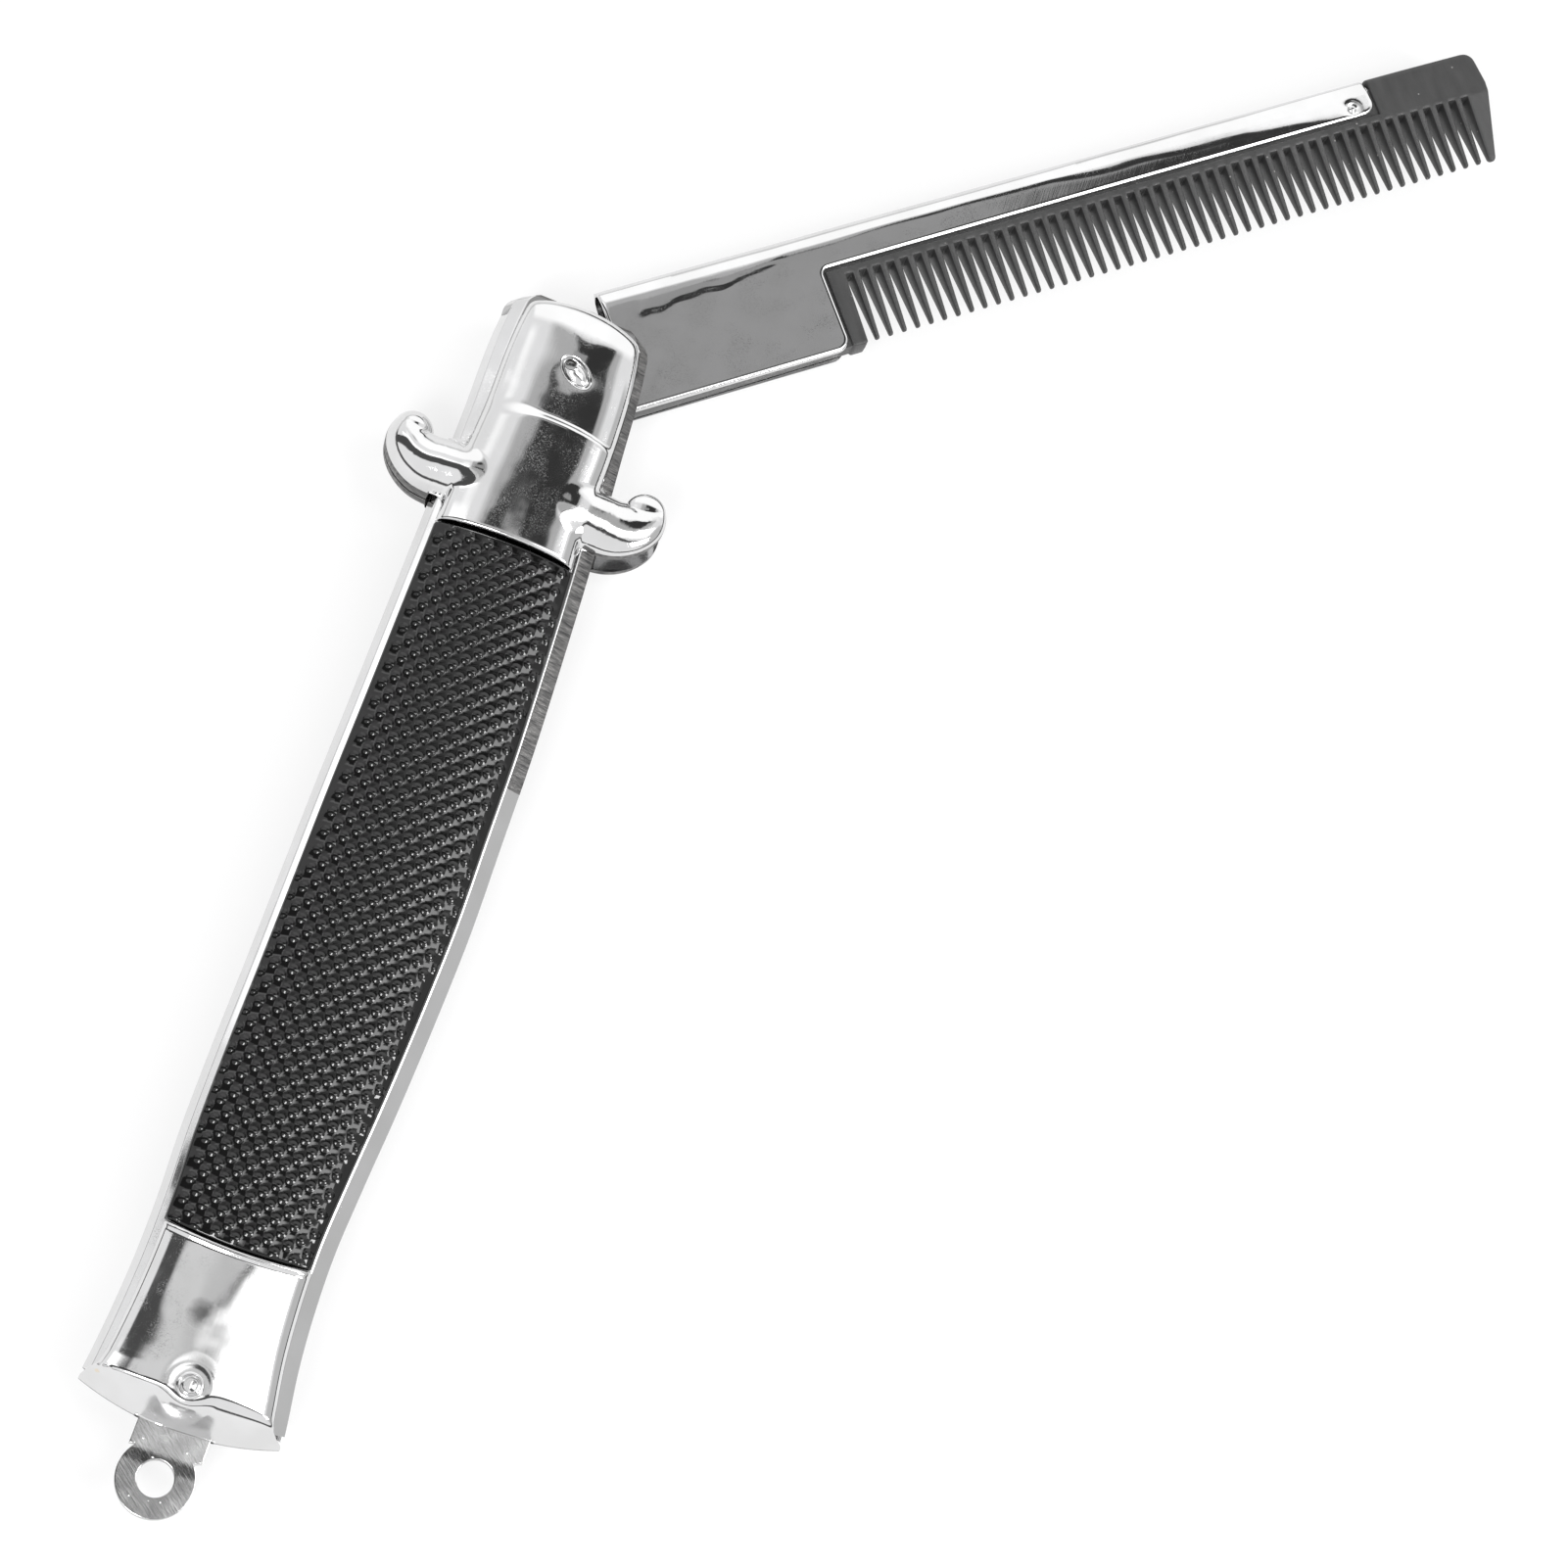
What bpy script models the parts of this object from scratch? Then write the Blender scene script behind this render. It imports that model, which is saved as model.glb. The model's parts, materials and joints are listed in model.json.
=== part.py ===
"""A folding pocket comb with a slim two-sided handle, shown with the comb swung part of the way out.

The handle lies on its back with +Z up and its long axis along Y, the pivot end towards +Y. The comb turns
about a vertical pin near that end, and folds teeth first into the slot between the handle's two halves.
Sizes are in millimetres and are turned into metres where the meshes are made.
"""

import math

import bmesh
import bpy

MM = 0.001

# Handle: measured from the tail end, on the line through both rivets
PIVOT_Y = 117.2
TAIL_RIVET_Y = 2.8
OPEN_ANGLE = 39.1  # degrees from +X to the comb as it is shown

# Heights above the middle plane of the handle
HALF_SLOT = 2.1
LEDGE_Z = 3.1
COVER_GAP = 0.3
COVER_Z = LEDGE_Z + COVER_GAP
COVER_EDGE = 0.1
CREST_Z = 6.0
HALF_SEAM = 0.15
STEP_RUN = 0.02  # two sections this far apart along a loft make a step in it

# Sheet frame: the edges in the order up the handle
FRAME_OUTLINE = (
    # y, left edge, right edge
    (0.0, -10.78, 10.70),
    (3.0, -10.48, 10.30),
    (8.0, -10.08, 9.55),
    (15.0, -9.80, 8.98),
    (20.0, -9.84, 8.87),
    (27.0, -10.14, 9.20),
    (36.0, -10.22, 9.78),
    (46.0, -10.14, 10.22),
    (56.0, -10.10, 10.46),
    (66.0, -10.06, 10.28),
    (76.0, -9.92, 10.08),
    (86.0, -9.82, 9.63),
    (97.0, -9.70, 9.00),
    (110.0, -9.70, 8.04),
    (122.6, -9.58, 6.85),
    (123.7, -9.45, 6.65),
)
FRAME_START_Y = 1.6
SIDE_WALL_END_Y = 122.4
LOW_WALL_FOOT = HALF_SLOT - 0.15
LEFT_WALL_PLAN = 0.75
LEFT_WALL_THICK = 0.6
RIGHT_FLANGE_PLAN = 1.3
RIGHT_LIP = 0.2
PLATE_STEPS = 6

# The ends of the plates and covers bow along Y across the handle
TOP_BOW = 2.2
TAIL_BOW = -2.1
BOLSTER_EDGE_BOW = 0.45
CAP_EDGE_BOW = -0.9
TOP_BOW_START_Y = 112.0
TAIL_BOW_END_Y = 4.0

# Bolster: the domed cover at the pivot end
BOLSTER_SECTIONS = (
    # y, inset from left edge, inset from right edge, crest height
    (96.5, 1.50, 1.90, 5.90),
    (99.0, 1.50, 1.90, 6.00),
    (104.0, 1.70, 1.60, 6.00),
    (110.3, 2.00, 1.10, 6.00),
    (111.1, 2.00, 1.10, 5.65),
    (117.0, 2.10, 0.95, 5.60),
    (120.5, 2.15, 0.95, 5.35),
    (122.0, 2.30, 1.05, 4.95),
    (122.7, 2.50, 1.25, 4.45),
    (123.0, 2.75, 1.50, 3.80),
)
BOLSTER_SQUARENESS = 3.2

# Hooked guards on the bolster, drawn for the right side
QUILLON_PATH = (
    # x from the guard's middle, y, half width, crest height
    (6.0, 103.0, 3.50, 5.6),
    (8.6, 103.0, 3.35, 5.1),
    (10.6, 103.1, 3.15, 4.7),
    (12.1, 103.7, 2.85, 4.4),
    (13.2, 104.7, 2.55, 4.2),
    (13.55, 105.8, 2.20, 4.0),
    (13.6, 106.7, 1.75, 3.7),
    (13.6, 107.35, 1.00, 3.3),
)
GUARD_MIDDLE_X = -0.8
QUILLON_EDGE = 0.8
QUILLON_FOOT_Y = 98.0
QUILLON_ARC_STEPS = 8

# Grip: the convex plastic insert between the bolster and the cap
GRIP_START_Y = 18.0
GRIP_END_Y = 96.2
GRIP_STATIONS = 11
GRIP_INSET_LEFT = 1.5
GRIP_INSET_RIGHT = 1.9
GRIP_CREST_Z = 5.3
GRIP_EDGE = 0.35
GRIP_SQUARENESS = 2.3

# Cap: the domed cover at the tail, whose sloping end face closes the frame
CAP_SECTIONS = (
    # y, inset from left edge, inset from right edge, bottom height, crest height
    (0.50, 0.10, 0.10, HALF_SEAM, 1.00),
    (0.80, 0.12, 0.15, HALF_SEAM, 2.20),
    (1.25, 0.40, 0.70, HALF_SEAM, 3.40),
    (1.30, 0.43, 0.75, COVER_Z, 3.70),
    (1.80, 0.85, 1.15, COVER_Z, 4.40),
    (2.50, 1.25, 1.35, COVER_Z, 4.95),
    (3.60, 1.45, 1.42, COVER_Z, 5.30),
    (5.20, 1.50, 1.45, COVER_Z, 5.50),
    (9.00, 1.55, 1.50, COVER_Z, 5.60),
    (14.0, 1.60, 1.50, COVER_Z, 5.65),
    (17.7, 1.60, 1.50, COVER_Z, 5.60),
)
CAP_SQUARENESS = 3.4
CAP_NOTCH_HALF_WIDTH = 4.2
CAP_NOTCH_DEPTH = 0.9
DOME_STEPS = 16

# Rivets and their sunk seats in the covers
PIVOT_RADIUS = 1.4
PIVOT_HEAD_RADIUS = 1.85
PIVOT_SEAT_RADIUS = 2.3
PIVOT_SEAT_Z = 4.9
TAIL_PIN_RADIUS = 1.0
TAIL_HEAD_RADIUS = 1.6
TAIL_SEAT_RADIUS = 2.0
TAIL_SEAT_Z = 4.5
HEAD_RISE = 0.75
RUNNING_GAP = 0.3
SEAT_WALL = 3.0
ROUND_STEPS = 32

# Hang tab at the tail
TAB_HALF_THICK = 0.6
TAB_LEFT_X = -3.7
TAB_RIGHT_X = 3.85
TAB_RING_Y = -6.25
TAB_RING_RADIUS = 4.0
TAB_HOLE_RADIUS = 1.85
TAB_LEFT_NECK_Y = -3.8
TAB_RIGHT_NECK_Y = -3.4
TAB_SHOULDER_Y = 1.2
TAB_INNER_RADIUS = 1.75
TAB_BEND_Y = (-4.2, -4.8)
TAB_BEND_DROP = 0.3

# Comb, in its own axes: x from the pivot along the comb, y towards its back
TOOTH_COUNT = 47
TOOTH_PITCH = 1.627
FIRST_GAP_X = 33.92
ROOT_Y = 3.46
TIP_Y = -4.2
ROOT_HALF_WIDTH = 0.395
TIP_HALF_WIDTH = 0.23
TIP_ROUND = 0.22
COMB_HALF_THICK = 1.55
TIP_HALF_THICK = 0.42
CORE_HALF_THICK = 1.2
CORE_HEEL_RADIUS = 4.6
GUARD_LEFT_X = 31.4
GUARD_BOTTOM_Y = -4.7
STRIP_TOP_Y = 4.35
COMB_END_X = 113.7

# Sleeve: the chrome sheet folded over the comb's back and tang
SLEEVE_HALF_THICK = 1.8
SLEEVE_SHEET = 0.45
SLEEVE_START_X = 6.4
SLEEVE_END_X = 99.6
TANG_END_X = 31.1
TANG_BOTTOM_Y = -4.9
HEEL_RADIUS = 5.2
HEEL_FOOT_X = 4.5
CORE_TANG_MARGIN = 0.15
CORE_OVERLAP = 1.2
CORE_BACK_MARGIN = SLEEVE_HALF_THICK - 0.4
CORE_START_MARGIN = 0.6
SLEEVE_EDGE_Y = 4.65
BACK_Y_AT_START = 9.65
BACK_Y_AT_END = 9.05
FOLD_STEPS = 10
SLEEVE_RIVET_X = 96.9
SLEEVE_RIVET_Y = 5.75
SLEEVE_RIVET_RADIUS = 0.55


def clear_scene():
    for thing in list(bpy.data.objects):
        bpy.data.objects.remove(thing, do_unlink=True)


def material(name, colour, metallic, roughness):
    mat = bpy.data.materials.new(name)
    mat.use_nodes = True
    shader = mat.node_tree.nodes["Principled BSDF"]
    shader.inputs["Base Color"].default_value = (*colour, 1.0)
    shader.inputs["Metallic"].default_value = metallic
    shader.inputs["Roughness"].default_value = roughness
    return mat


def between(rows, y, column):
    """The value of a table's column at height y, read along straight lines between its rows."""
    if y <= rows[0][0]:
        return rows[0][column]
    for low, high in zip(rows, rows[1:]):
        if y <= high[0]:
            share = (y - low[0]) / (high[0] - low[0])
            return low[column] + (high[column] - low[column]) * share
    return rows[-1][column]


def left_edge(y):
    return between(FRAME_OUTLINE, y, 1)


def right_edge(y):
    return between(FRAME_OUTLINE, y, 2)


def bowed(x, y, amount):
    """Shift y by a shallow arc that is fullest on the handle's middle line and nil at its edges."""
    middle = (left_edge(y) + right_edge(y)) / 2
    half = (right_edge(y) - left_edge(y)) / 2
    return y + amount * max(0.0, 1.0 - ((x - middle) / half) ** 2)


def end_bow(x, y):
    """The bow of the handle's own two ends, which fades out along the handle."""
    if y > TOP_BOW_START_Y:
        share = (y - TOP_BOW_START_Y) / (FRAME_OUTLINE[-1][0] - TOP_BOW_START_Y)
        return bowed(x, y, TOP_BOW * share)
    if y < TAIL_BOW_END_Y:
        return bowed(x, y, TAIL_BOW * (1.0 - y / TAIL_BOW_END_Y))
    return y


def loft(rings):
    """A closed solid through rings of equal length, with a flat face on each end."""
    count = len(rings[0])
    points = [point for ring in rings for point in ring]
    faces = []
    for row in range(len(rings) - 1):
        for step in range(count):
            after = (step + 1) % count
            low, high = row * count, (row + 1) * count
            faces.append((low + step, low + after, high + after, high + step))
    faces.append(tuple(reversed(range(count))))
    last = (len(rings) - 1) * count
    faces.append(tuple(last + step for step in range(count)))
    return points, faces


def shell(sections):
    """A closed solid through sections of outer and inner points, each end closed by a strip between them."""
    points, faces = loft([outer + inner[::-1] for outer, inner in sections])
    count = len(sections[0][0])
    ring = 2 * count
    last = (len(sections) - 1) * ring
    del faces[-2:]
    for k in range(count - 1):
        outer, inner = k, ring - 1 - k
        faces.append((inner, inner - 1, outer + 1, outer))
        faces.append((last + outer, last + outer + 1, last + inner - 1, last + inner))
    return points, faces


def circle(radius, z, centre=(0.0, 0.0), steps=ROUND_STEPS):
    turn = 2 * math.pi / steps
    return [
        (centre[0] + radius * math.cos(turn * k), centre[1] + radius * math.sin(turn * k), z)
        for k in range(steps)
    ]


def turned(profile, centre=(0.0, 0.0)):
    """A solid of revolution about a vertical line, from rows of radius and height."""
    return loft([circle(radius, z, centre) for radius, z in profile])


def arc(centre, radius, start, end, steps):
    """Points on an arc, with its angles in degrees."""
    points = []
    for k in range(steps + 1):
        angle = math.radians(start + (end - start) * k / steps)
        points.append((centre[0] + radius * math.cos(angle), centre[1] + radius * math.sin(angle)))
    return points


def filleted(corners, steps=5):
    """An outline from rows of x, y and corner radius, with each corner rounded."""
    outline = []
    for k, (x, y, radius) in enumerate(corners):
        if radius == 0:
            outline.append((x, y))
            continue
        before, after = corners[k - 1], corners[(k + 1) % len(corners)]
        to_before = math.atan2(before[1] - y, before[0] - x)
        to_after = math.atan2(after[1] - y, after[0] - x)
        opening = (to_after - to_before + math.pi) % (2 * math.pi) - math.pi
        reach = radius / math.tan(abs(opening) / 2)
        centre_reach = radius / math.sin(abs(opening) / 2)
        heading = to_before + opening / 2
        centre = (x + centre_reach * math.cos(heading), y + centre_reach * math.sin(heading))
        first = (x + reach * math.cos(to_before), y + reach * math.sin(to_before))
        start = math.atan2(first[1] - centre[1], first[0] - centre[0])
        sweep = math.copysign(math.pi - abs(opening), -opening)
        for step in range(steps + 1):
            angle = start + sweep * step / steps
            outline.append((centre[0] + radius * math.cos(angle), centre[1] + radius * math.sin(angle)))
    return outline


def slab(outline, bottom, top):
    """A flat plate from an outline that runs anticlockwise."""
    return loft([[(x, y, bottom) for x, y in outline], [(x, y, top) for x, y in outline]])


def mesh_object(name, solid, mirrored, parent):
    """Make an object from a solid in millimetres, turned over to the back where mirrored."""
    points, faces = solid
    flip = -1.0 if mirrored else 1.0
    mesh = bpy.data.meshes.new(name)
    mesh.from_pydata([(x * MM, y * MM, z * MM * flip) for x, y, z in points], [], faces)
    work = bmesh.new()
    work.from_mesh(mesh)
    bmesh.ops.recalc_face_normals(work, faces=work.faces)
    work.to_mesh(mesh)
    work.free()
    thing = bpy.data.objects.new(name, mesh)
    bpy.context.collection.objects.link(thing)
    thing.parent = parent
    return thing


def combine(thing, solid, operation, mirrored, parent, label):
    """Join a solid to an object, or cut it out, with a Boolean whose operand stays as a guide."""
    guide = mesh_object(f"{thing.name}_{label}", solid, mirrored, parent)
    guide.hide_render = True
    guide.display_type = "WIRE"
    modifier = thing.modifiers.new(label, "BOOLEAN")
    modifier.operation = operation
    modifier.object = guide


def piece(name, solid, mat, parent, joins=(), cuts=(), mirrored=False, smooth_angle=35):
    """One named sub-part: a base solid, what is joined to it and what is cut from it."""
    thing = mesh_object(name, solid, mirrored, parent)
    for number, extra in enumerate(joins):
        combine(thing, extra, "UNION", mirrored, parent, f"join_{number}")
    for number, cutter in enumerate(cuts):
        combine(thing, cutter, "DIFFERENCE", mirrored, parent, f"cut_{number}")
    thing.data.materials.append(mat)
    thing.data.shade_smooth()
    thing.data.set_sharp_from_angle(angle=math.radians(smooth_angle))
    return thing


def frame_section(y, foot):
    """The frame's section: a steep left wall down to its foot, the flat plate and the right flange."""
    left, right = left_edge(y), right_edge(y)
    plate_left, plate_right = left + LEFT_WALL_PLAN, right - RIGHT_FLANGE_PLAN
    inner_left = plate_left + LEFT_WALL_THICK
    outer, inner = [(left, foot)], [(left + LEFT_WALL_THICK, foot)]
    for k in range(PLATE_STEPS + 1):
        share = k / PLATE_STEPS
        outer.append((plate_left + (plate_right - plate_left) * share, LEDGE_Z))
        inner.append((inner_left + (plate_right - inner_left) * share, HALF_SLOT))
    outer.append((right, HALF_SLOT + RIGHT_LIP))
    inner.append((right, HALF_SLOT))
    return tuple([(x, end_bow(x, y), z) for x, z in path] for path in (outer, inner))


def frame_solid():
    heights = [FRAME_START_Y] + [row[0] for row in FRAME_OUTLINE if row[0] > FRAME_START_Y]
    sections = [frame_section(y, HALF_SEAM) for y in heights if y <= SIDE_WALL_END_Y]
    # the side wall is lower where the fully opened comb's shoulder comes past it
    stop = SIDE_WALL_END_Y + STEP_RUN
    sections += [frame_section(y, LOW_WALL_FOOT) for y in [stop] + [y for y in heights if y > stop]]
    return shell(sections)


def dome_section(left, right, bottom, edge, crest, squareness, place):
    """A flat-bottomed arch from left to right; place turns x into the point's y."""
    middle, half = (left + right) / 2, (right - left) / 2
    outer, inner = [], []
    for k in range(DOME_STEPS + 1):
        angle = math.pi * (1 - k / DOME_STEPS)
        reach = math.copysign(abs(math.cos(angle)) ** (2 / squareness), math.cos(angle))
        rise = math.sin(angle) ** (2 / squareness) if 0 < k < DOME_STEPS else 0.0
        x = middle + half * reach
        outer.append((x, place(x), edge + (crest - edge) * rise))
        inner.append((x, place(x), bottom))
    return outer, inner


def bolster_solid():
    sections = []
    first_y = BOLSTER_SECTIONS[0][0]
    for y, inset_left, inset_right, crest in BOLSTER_SECTIONS:
        edge_bow = BOLSTER_EDGE_BOW if y == first_y else 0.0

        def place(x, y=y, edge_bow=edge_bow):
            return bowed(x, end_bow(x, y), edge_bow)

        left, right = left_edge(y) + inset_left, right_edge(y) - inset_right
        edge = COVER_Z + COVER_EDGE
        sections.append(dome_section(left, right, COVER_Z, edge, crest, BOLSTER_SQUARENESS, place))
    return shell(sections)


def quillon_solid(side):
    """One hooked guard: above the frame at first, then deep where it stands clear of the frame's edge.

    The right one stays out of the slot that the comb swings through.
    """
    foot = HALF_SLOT if side > 0 else HALF_SEAM
    edge = right_edge(QUILLON_FOOT_Y) if side > 0 else left_edge(QUILLON_FOOT_Y)
    wall = abs(edge - GUARD_MIDDLE_X) + COVER_GAP
    step = [
        (out, *(between(QUILLON_PATH, wall, column) for column in (1, 2, 3)))
        for out in (wall, wall + STEP_RUN)
    ]
    inside = [row for row in QUILLON_PATH[:3] if row[0] < wall]
    path = inside + step + list(QUILLON_PATH[len(inside):])
    rings = []
    for k, (out, y, half_width, crest) in enumerate(path):
        before = path[max(k - 1, 0)]
        after = path[min(k + 1, len(path) - 1)]
        heading = math.atan2(after[1] - before[1], after[0] - before[0])
        across = (-math.sin(heading), math.cos(heading))
        bottom = foot if out > wall else COVER_Z
        shoulder = bottom + QUILLON_EDGE
        ring = [(half_width, bottom)]
        for arc_step in range(QUILLON_ARC_STEPS + 1):
            angle = math.pi * arc_step / QUILLON_ARC_STEPS
            ring.append((half_width * math.cos(angle), shoulder + (crest - shoulder) * math.sin(angle)))
        ring.append((-half_width, bottom))
        rings.append([
            (GUARD_MIDDLE_X + side * (out + across[0] * reach), y + across[1] * reach, z)
            for reach, z in ring
        ])
    return loft(rings)


def grip_solid():
    sections = []
    for k in range(GRIP_STATIONS):
        y = GRIP_START_Y + (GRIP_END_Y - GRIP_START_Y) * k / (GRIP_STATIONS - 1)
        edge_bow = {0: CAP_EDGE_BOW, GRIP_STATIONS - 1: BOLSTER_EDGE_BOW}.get(k, 0.0)

        def place(x, y=y, edge_bow=edge_bow):
            return bowed(x, y, edge_bow)

        left, right = left_edge(y) + GRIP_INSET_LEFT, right_edge(y) - GRIP_INSET_RIGHT
        edge = COVER_Z + GRIP_EDGE
        sections.append(dome_section(left, right, COVER_Z, edge, GRIP_CREST_Z, GRIP_SQUARENESS, place))
    return shell(sections)


def cap_solid():
    sections = []
    last_y = CAP_SECTIONS[-1][0]
    for y, inset_left, inset_right, bottom, crest in CAP_SECTIONS:
        edge_bow = CAP_EDGE_BOW if y == last_y else 0.0

        def place(x, y=y, edge_bow=edge_bow):
            return bowed(x, end_bow(x, y), edge_bow)

        left, right = left_edge(y) + inset_left, right_edge(y) - inset_right
        edge = bottom + COVER_EDGE
        sections.append(dome_section(left, right, bottom, edge, crest, CAP_SQUARENESS, place))
    return shell(sections)


def seat_cut(y, seat_radius, seat_z):
    """The sunk round seat for a rivet's head, opening outwards."""
    top = seat_z + SEAT_WALL
    return turned([(seat_radius, seat_z), (seat_radius + SEAT_WALL / 2, top)], (0.0, y))


def hole_cut(radius, y, x=0.0):
    reach = CREST_Z + SEAT_WALL
    return turned([(radius, -reach), (radius, reach)], (x, y))


def rivet_solid(y, pin_radius, head_radius, seat_z):
    """A pin through the handle with a low round head on each side."""
    under = seat_z + RUNNING_GAP
    top = under + HEAD_RISE
    head = [
        (head_radius, under),
        (head_radius, under + HEAD_RISE * 0.4),
        (head_radius * 0.8, under + HEAD_RISE * 0.85),
        (head_radius * 0.45, top),
    ]
    back = [(radius, -z) for radius, z in reversed(head)]
    return turned(back + [(pin_radius, -under), (pin_radius, under)] + head, (0.0, y))


def tab_solid():
    """The hang tab: a round end about the tail rivet, a broad neck, a slight bend and the ring end."""
    upper, lower = [math.degrees(math.asin((y - TAB_RING_Y) / TAB_RING_RADIUS)) for y in TAB_BEND_Y]
    ring_middle = (0.0, TAB_RING_Y)
    bend = arc(ring_middle, TAB_RING_RADIUS, 180 - upper, 180 - lower, 1)
    bend += arc(ring_middle, TAB_RING_RADIUS, lower, upper, 1)
    neck = arc((0.0, TAIL_RIVET_Y), TAB_INNER_RADIUS, 0, 180, 12)
    neck += [(TAB_LEFT_X, TAB_SHOULDER_Y), (TAB_LEFT_X, TAB_LEFT_NECK_Y), bend[0], bend[3]]
    neck += [(TAB_RIGHT_X, TAB_RIGHT_NECK_Y), (TAB_RIGHT_X, TAB_SHOULDER_Y)]
    ring = arc(ring_middle, TAB_RING_RADIUS, 180 - lower, 360 + lower, 28)

    def span(number, y):
        drop = TAB_BEND_DROP if y < sum(TAB_BEND_Y) / 2 else 0.0
        return -TAB_HALF_THICK - drop, TAB_HALF_THICK - drop

    return plate_from_cells([neck, bend, ring], span)


def back_line(x):
    """The comb's back, which closes in slightly towards the tip."""
    share = (x - SLEEVE_START_X) / (SLEEVE_END_X - SLEEVE_START_X)
    return BACK_Y_AT_START + (BACK_Y_AT_END - BACK_Y_AT_START) * share


def fold_line(x):
    """Where the flat side of the sleeve turns into the round fold over the back."""
    return back_line(x) - SLEEVE_HALF_THICK


def sleeve_outline():
    """The flat side of the sleeve, anticlockwise, ending with the two ends of its fold line."""
    outline = arc((0.0, 0.0), HEEL_RADIUS, 90, 270, 16)
    outline += filleted([
        (HEEL_FOOT_X, TANG_BOTTOM_Y, 0.0),
        (TANG_END_X, TANG_BOTTOM_Y, 1.6),
        (TANG_END_X, SLEEVE_EDGE_Y, 0.7),
        (SLEEVE_END_X, SLEEVE_EDGE_Y, 1.5),
        (SLEEVE_END_X, fold_line(SLEEVE_END_X), 0.0),
        (SLEEVE_START_X, fold_line(SLEEVE_START_X), 0.0),
        (SLEEVE_START_X, HEEL_RADIUS, 0.0),
    ])
    return outline


def sleeve_sheet():
    """The outer skin of the sleeve: two flat sides and the fold that joins them along the back."""
    side = sleeve_outline()
    count = len(side)
    points = [(x, y, SLEEVE_HALF_THICK) for x, y in side]
    points += [(x, y, -SLEEVE_HALF_THICK) for x, y in side]
    faces = [tuple(range(count)), tuple(count + k for k in reversed(range(count)))]
    end, start = count - 3, count - 2
    columns = []
    for corner in (end, start):
        x = side[corner][0]
        column = [corner]
        for step in range(1, FOLD_STEPS):
            angle = math.pi * (0.5 - step / FOLD_STEPS)
            column.append(len(points))
            reach, height = math.cos(angle), math.sin(angle)
            points.append((x, fold_line(x) + SLEEVE_HALF_THICK * reach, SLEEVE_HALF_THICK * height))
        column.append(count + corner)
        columns.append(column)
    for k in range(FOLD_STEPS):
        faces.append((columns[1][k], columns[0][k], columns[0][k + 1], columns[1][k + 1]))
    return points, faces


def core_outline():
    """The thin plastic core inside the sleeve and its tang, which reaches into the showing plastic."""
    start_x = SLEEVE_START_X + CORE_START_MARGIN
    end_x = SLEEVE_END_X + CORE_OVERLAP
    guard_x = TANG_END_X + CORE_OVERLAP
    strip_y = ROOT_Y + 0.4
    outline = arc((0.0, 0.0), CORE_HEEL_RADIUS, 90, 270, 12)
    outline += [
        (HEEL_FOOT_X, TANG_BOTTOM_Y + CORE_TANG_MARGIN),
        (guard_x, GUARD_BOTTOM_Y + CORE_TANG_MARGIN),
        (guard_x, strip_y),
        (end_x, strip_y),
        (end_x, back_line(end_x) - CORE_BACK_MARGIN),
        (start_x, back_line(start_x) - CORE_BACK_MARGIN),
        (start_x, CORE_HEEL_RADIUS),
    ]
    return outline


def tooth_cell(middle):
    """One tooth's plan, from its root to the rounded tip."""
    tip_base = TIP_Y + TIP_ROUND
    return [
        (middle - ROOT_HALF_WIDTH, ROOT_Y),
        (middle - TIP_HALF_WIDTH, tip_base),
        (middle - TIP_HALF_WIDTH * 0.55, TIP_Y),
        (middle + TIP_HALF_WIDTH * 0.55, TIP_Y),
        (middle + TIP_HALF_WIDTH, tip_base),
        (middle + ROOT_HALF_WIDTH, ROOT_Y),
    ]


def comb_cells():
    """The showing plastic in plan: a strip with guard and end tooth, then a cell for each tooth."""
    gap_half = TOOTH_PITCH / 2 - ROOT_HALF_WIDTH
    middles = [FIRST_GAP_X + TOOTH_PITCH * (k + 0.5) for k in range(TOOTH_COUNT)]
    last_gap_end = middles[-1] + TOOTH_PITCH / 2 + gap_half
    strip = [
        (GUARD_LEFT_X, STRIP_TOP_Y),
        (GUARD_LEFT_X, GUARD_BOTTOM_Y + 0.3),
        (GUARD_LEFT_X + 0.3, GUARD_BOTTOM_Y),
        (FIRST_GAP_X - gap_half - 0.65, GUARD_BOTTOM_Y),
        (FIRST_GAP_X - gap_half - 0.35, GUARD_BOTTOM_Y + 0.3),
        (FIRST_GAP_X - gap_half, ROOT_Y),
    ]
    for middle in middles:
        strip += [(middle - ROOT_HALF_WIDTH, ROOT_Y), (middle + ROOT_HALF_WIDTH, ROOT_Y)]
    end_root = (COMB_END_X - 0.1, ROOT_Y)
    strip += [(last_gap_end, ROOT_Y), end_root, (COMB_END_X, 3.9), (COMB_END_X, 5.3)]
    strip += arc((COMB_END_X - 1.75, 7.25), 1.35, 15, 90, 4)
    strip += [
        (SLEEVE_END_X + COVER_GAP, back_line(SLEEVE_END_X) - 0.35),
        (SLEEVE_END_X + COVER_GAP, STRIP_TOP_Y),
    ]
    end_tooth = [
        (last_gap_end, ROOT_Y),
        (last_gap_end - 0.05, TIP_Y + 0.25),
        (last_gap_end + 0.25, TIP_Y - 0.1),
        (last_gap_end + 0.7, TIP_Y - 0.1),
        (last_gap_end + 0.95, TIP_Y + 0.3),
        end_root,
    ]
    return [strip, end_tooth] + [tooth_cell(middle) for middle in middles]


def comb_span(number, y):
    """Full thickness in the strip, cell 0; the teeth thin evenly from their roots down to their tips."""
    half = COMB_HALF_THICK
    if number > 0 and y < ROOT_Y:
        half += (ROOT_Y - y) / (ROOT_Y - TIP_Y) * (TIP_HALF_THICK - COMB_HALF_THICK)
    return -half, half


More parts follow.
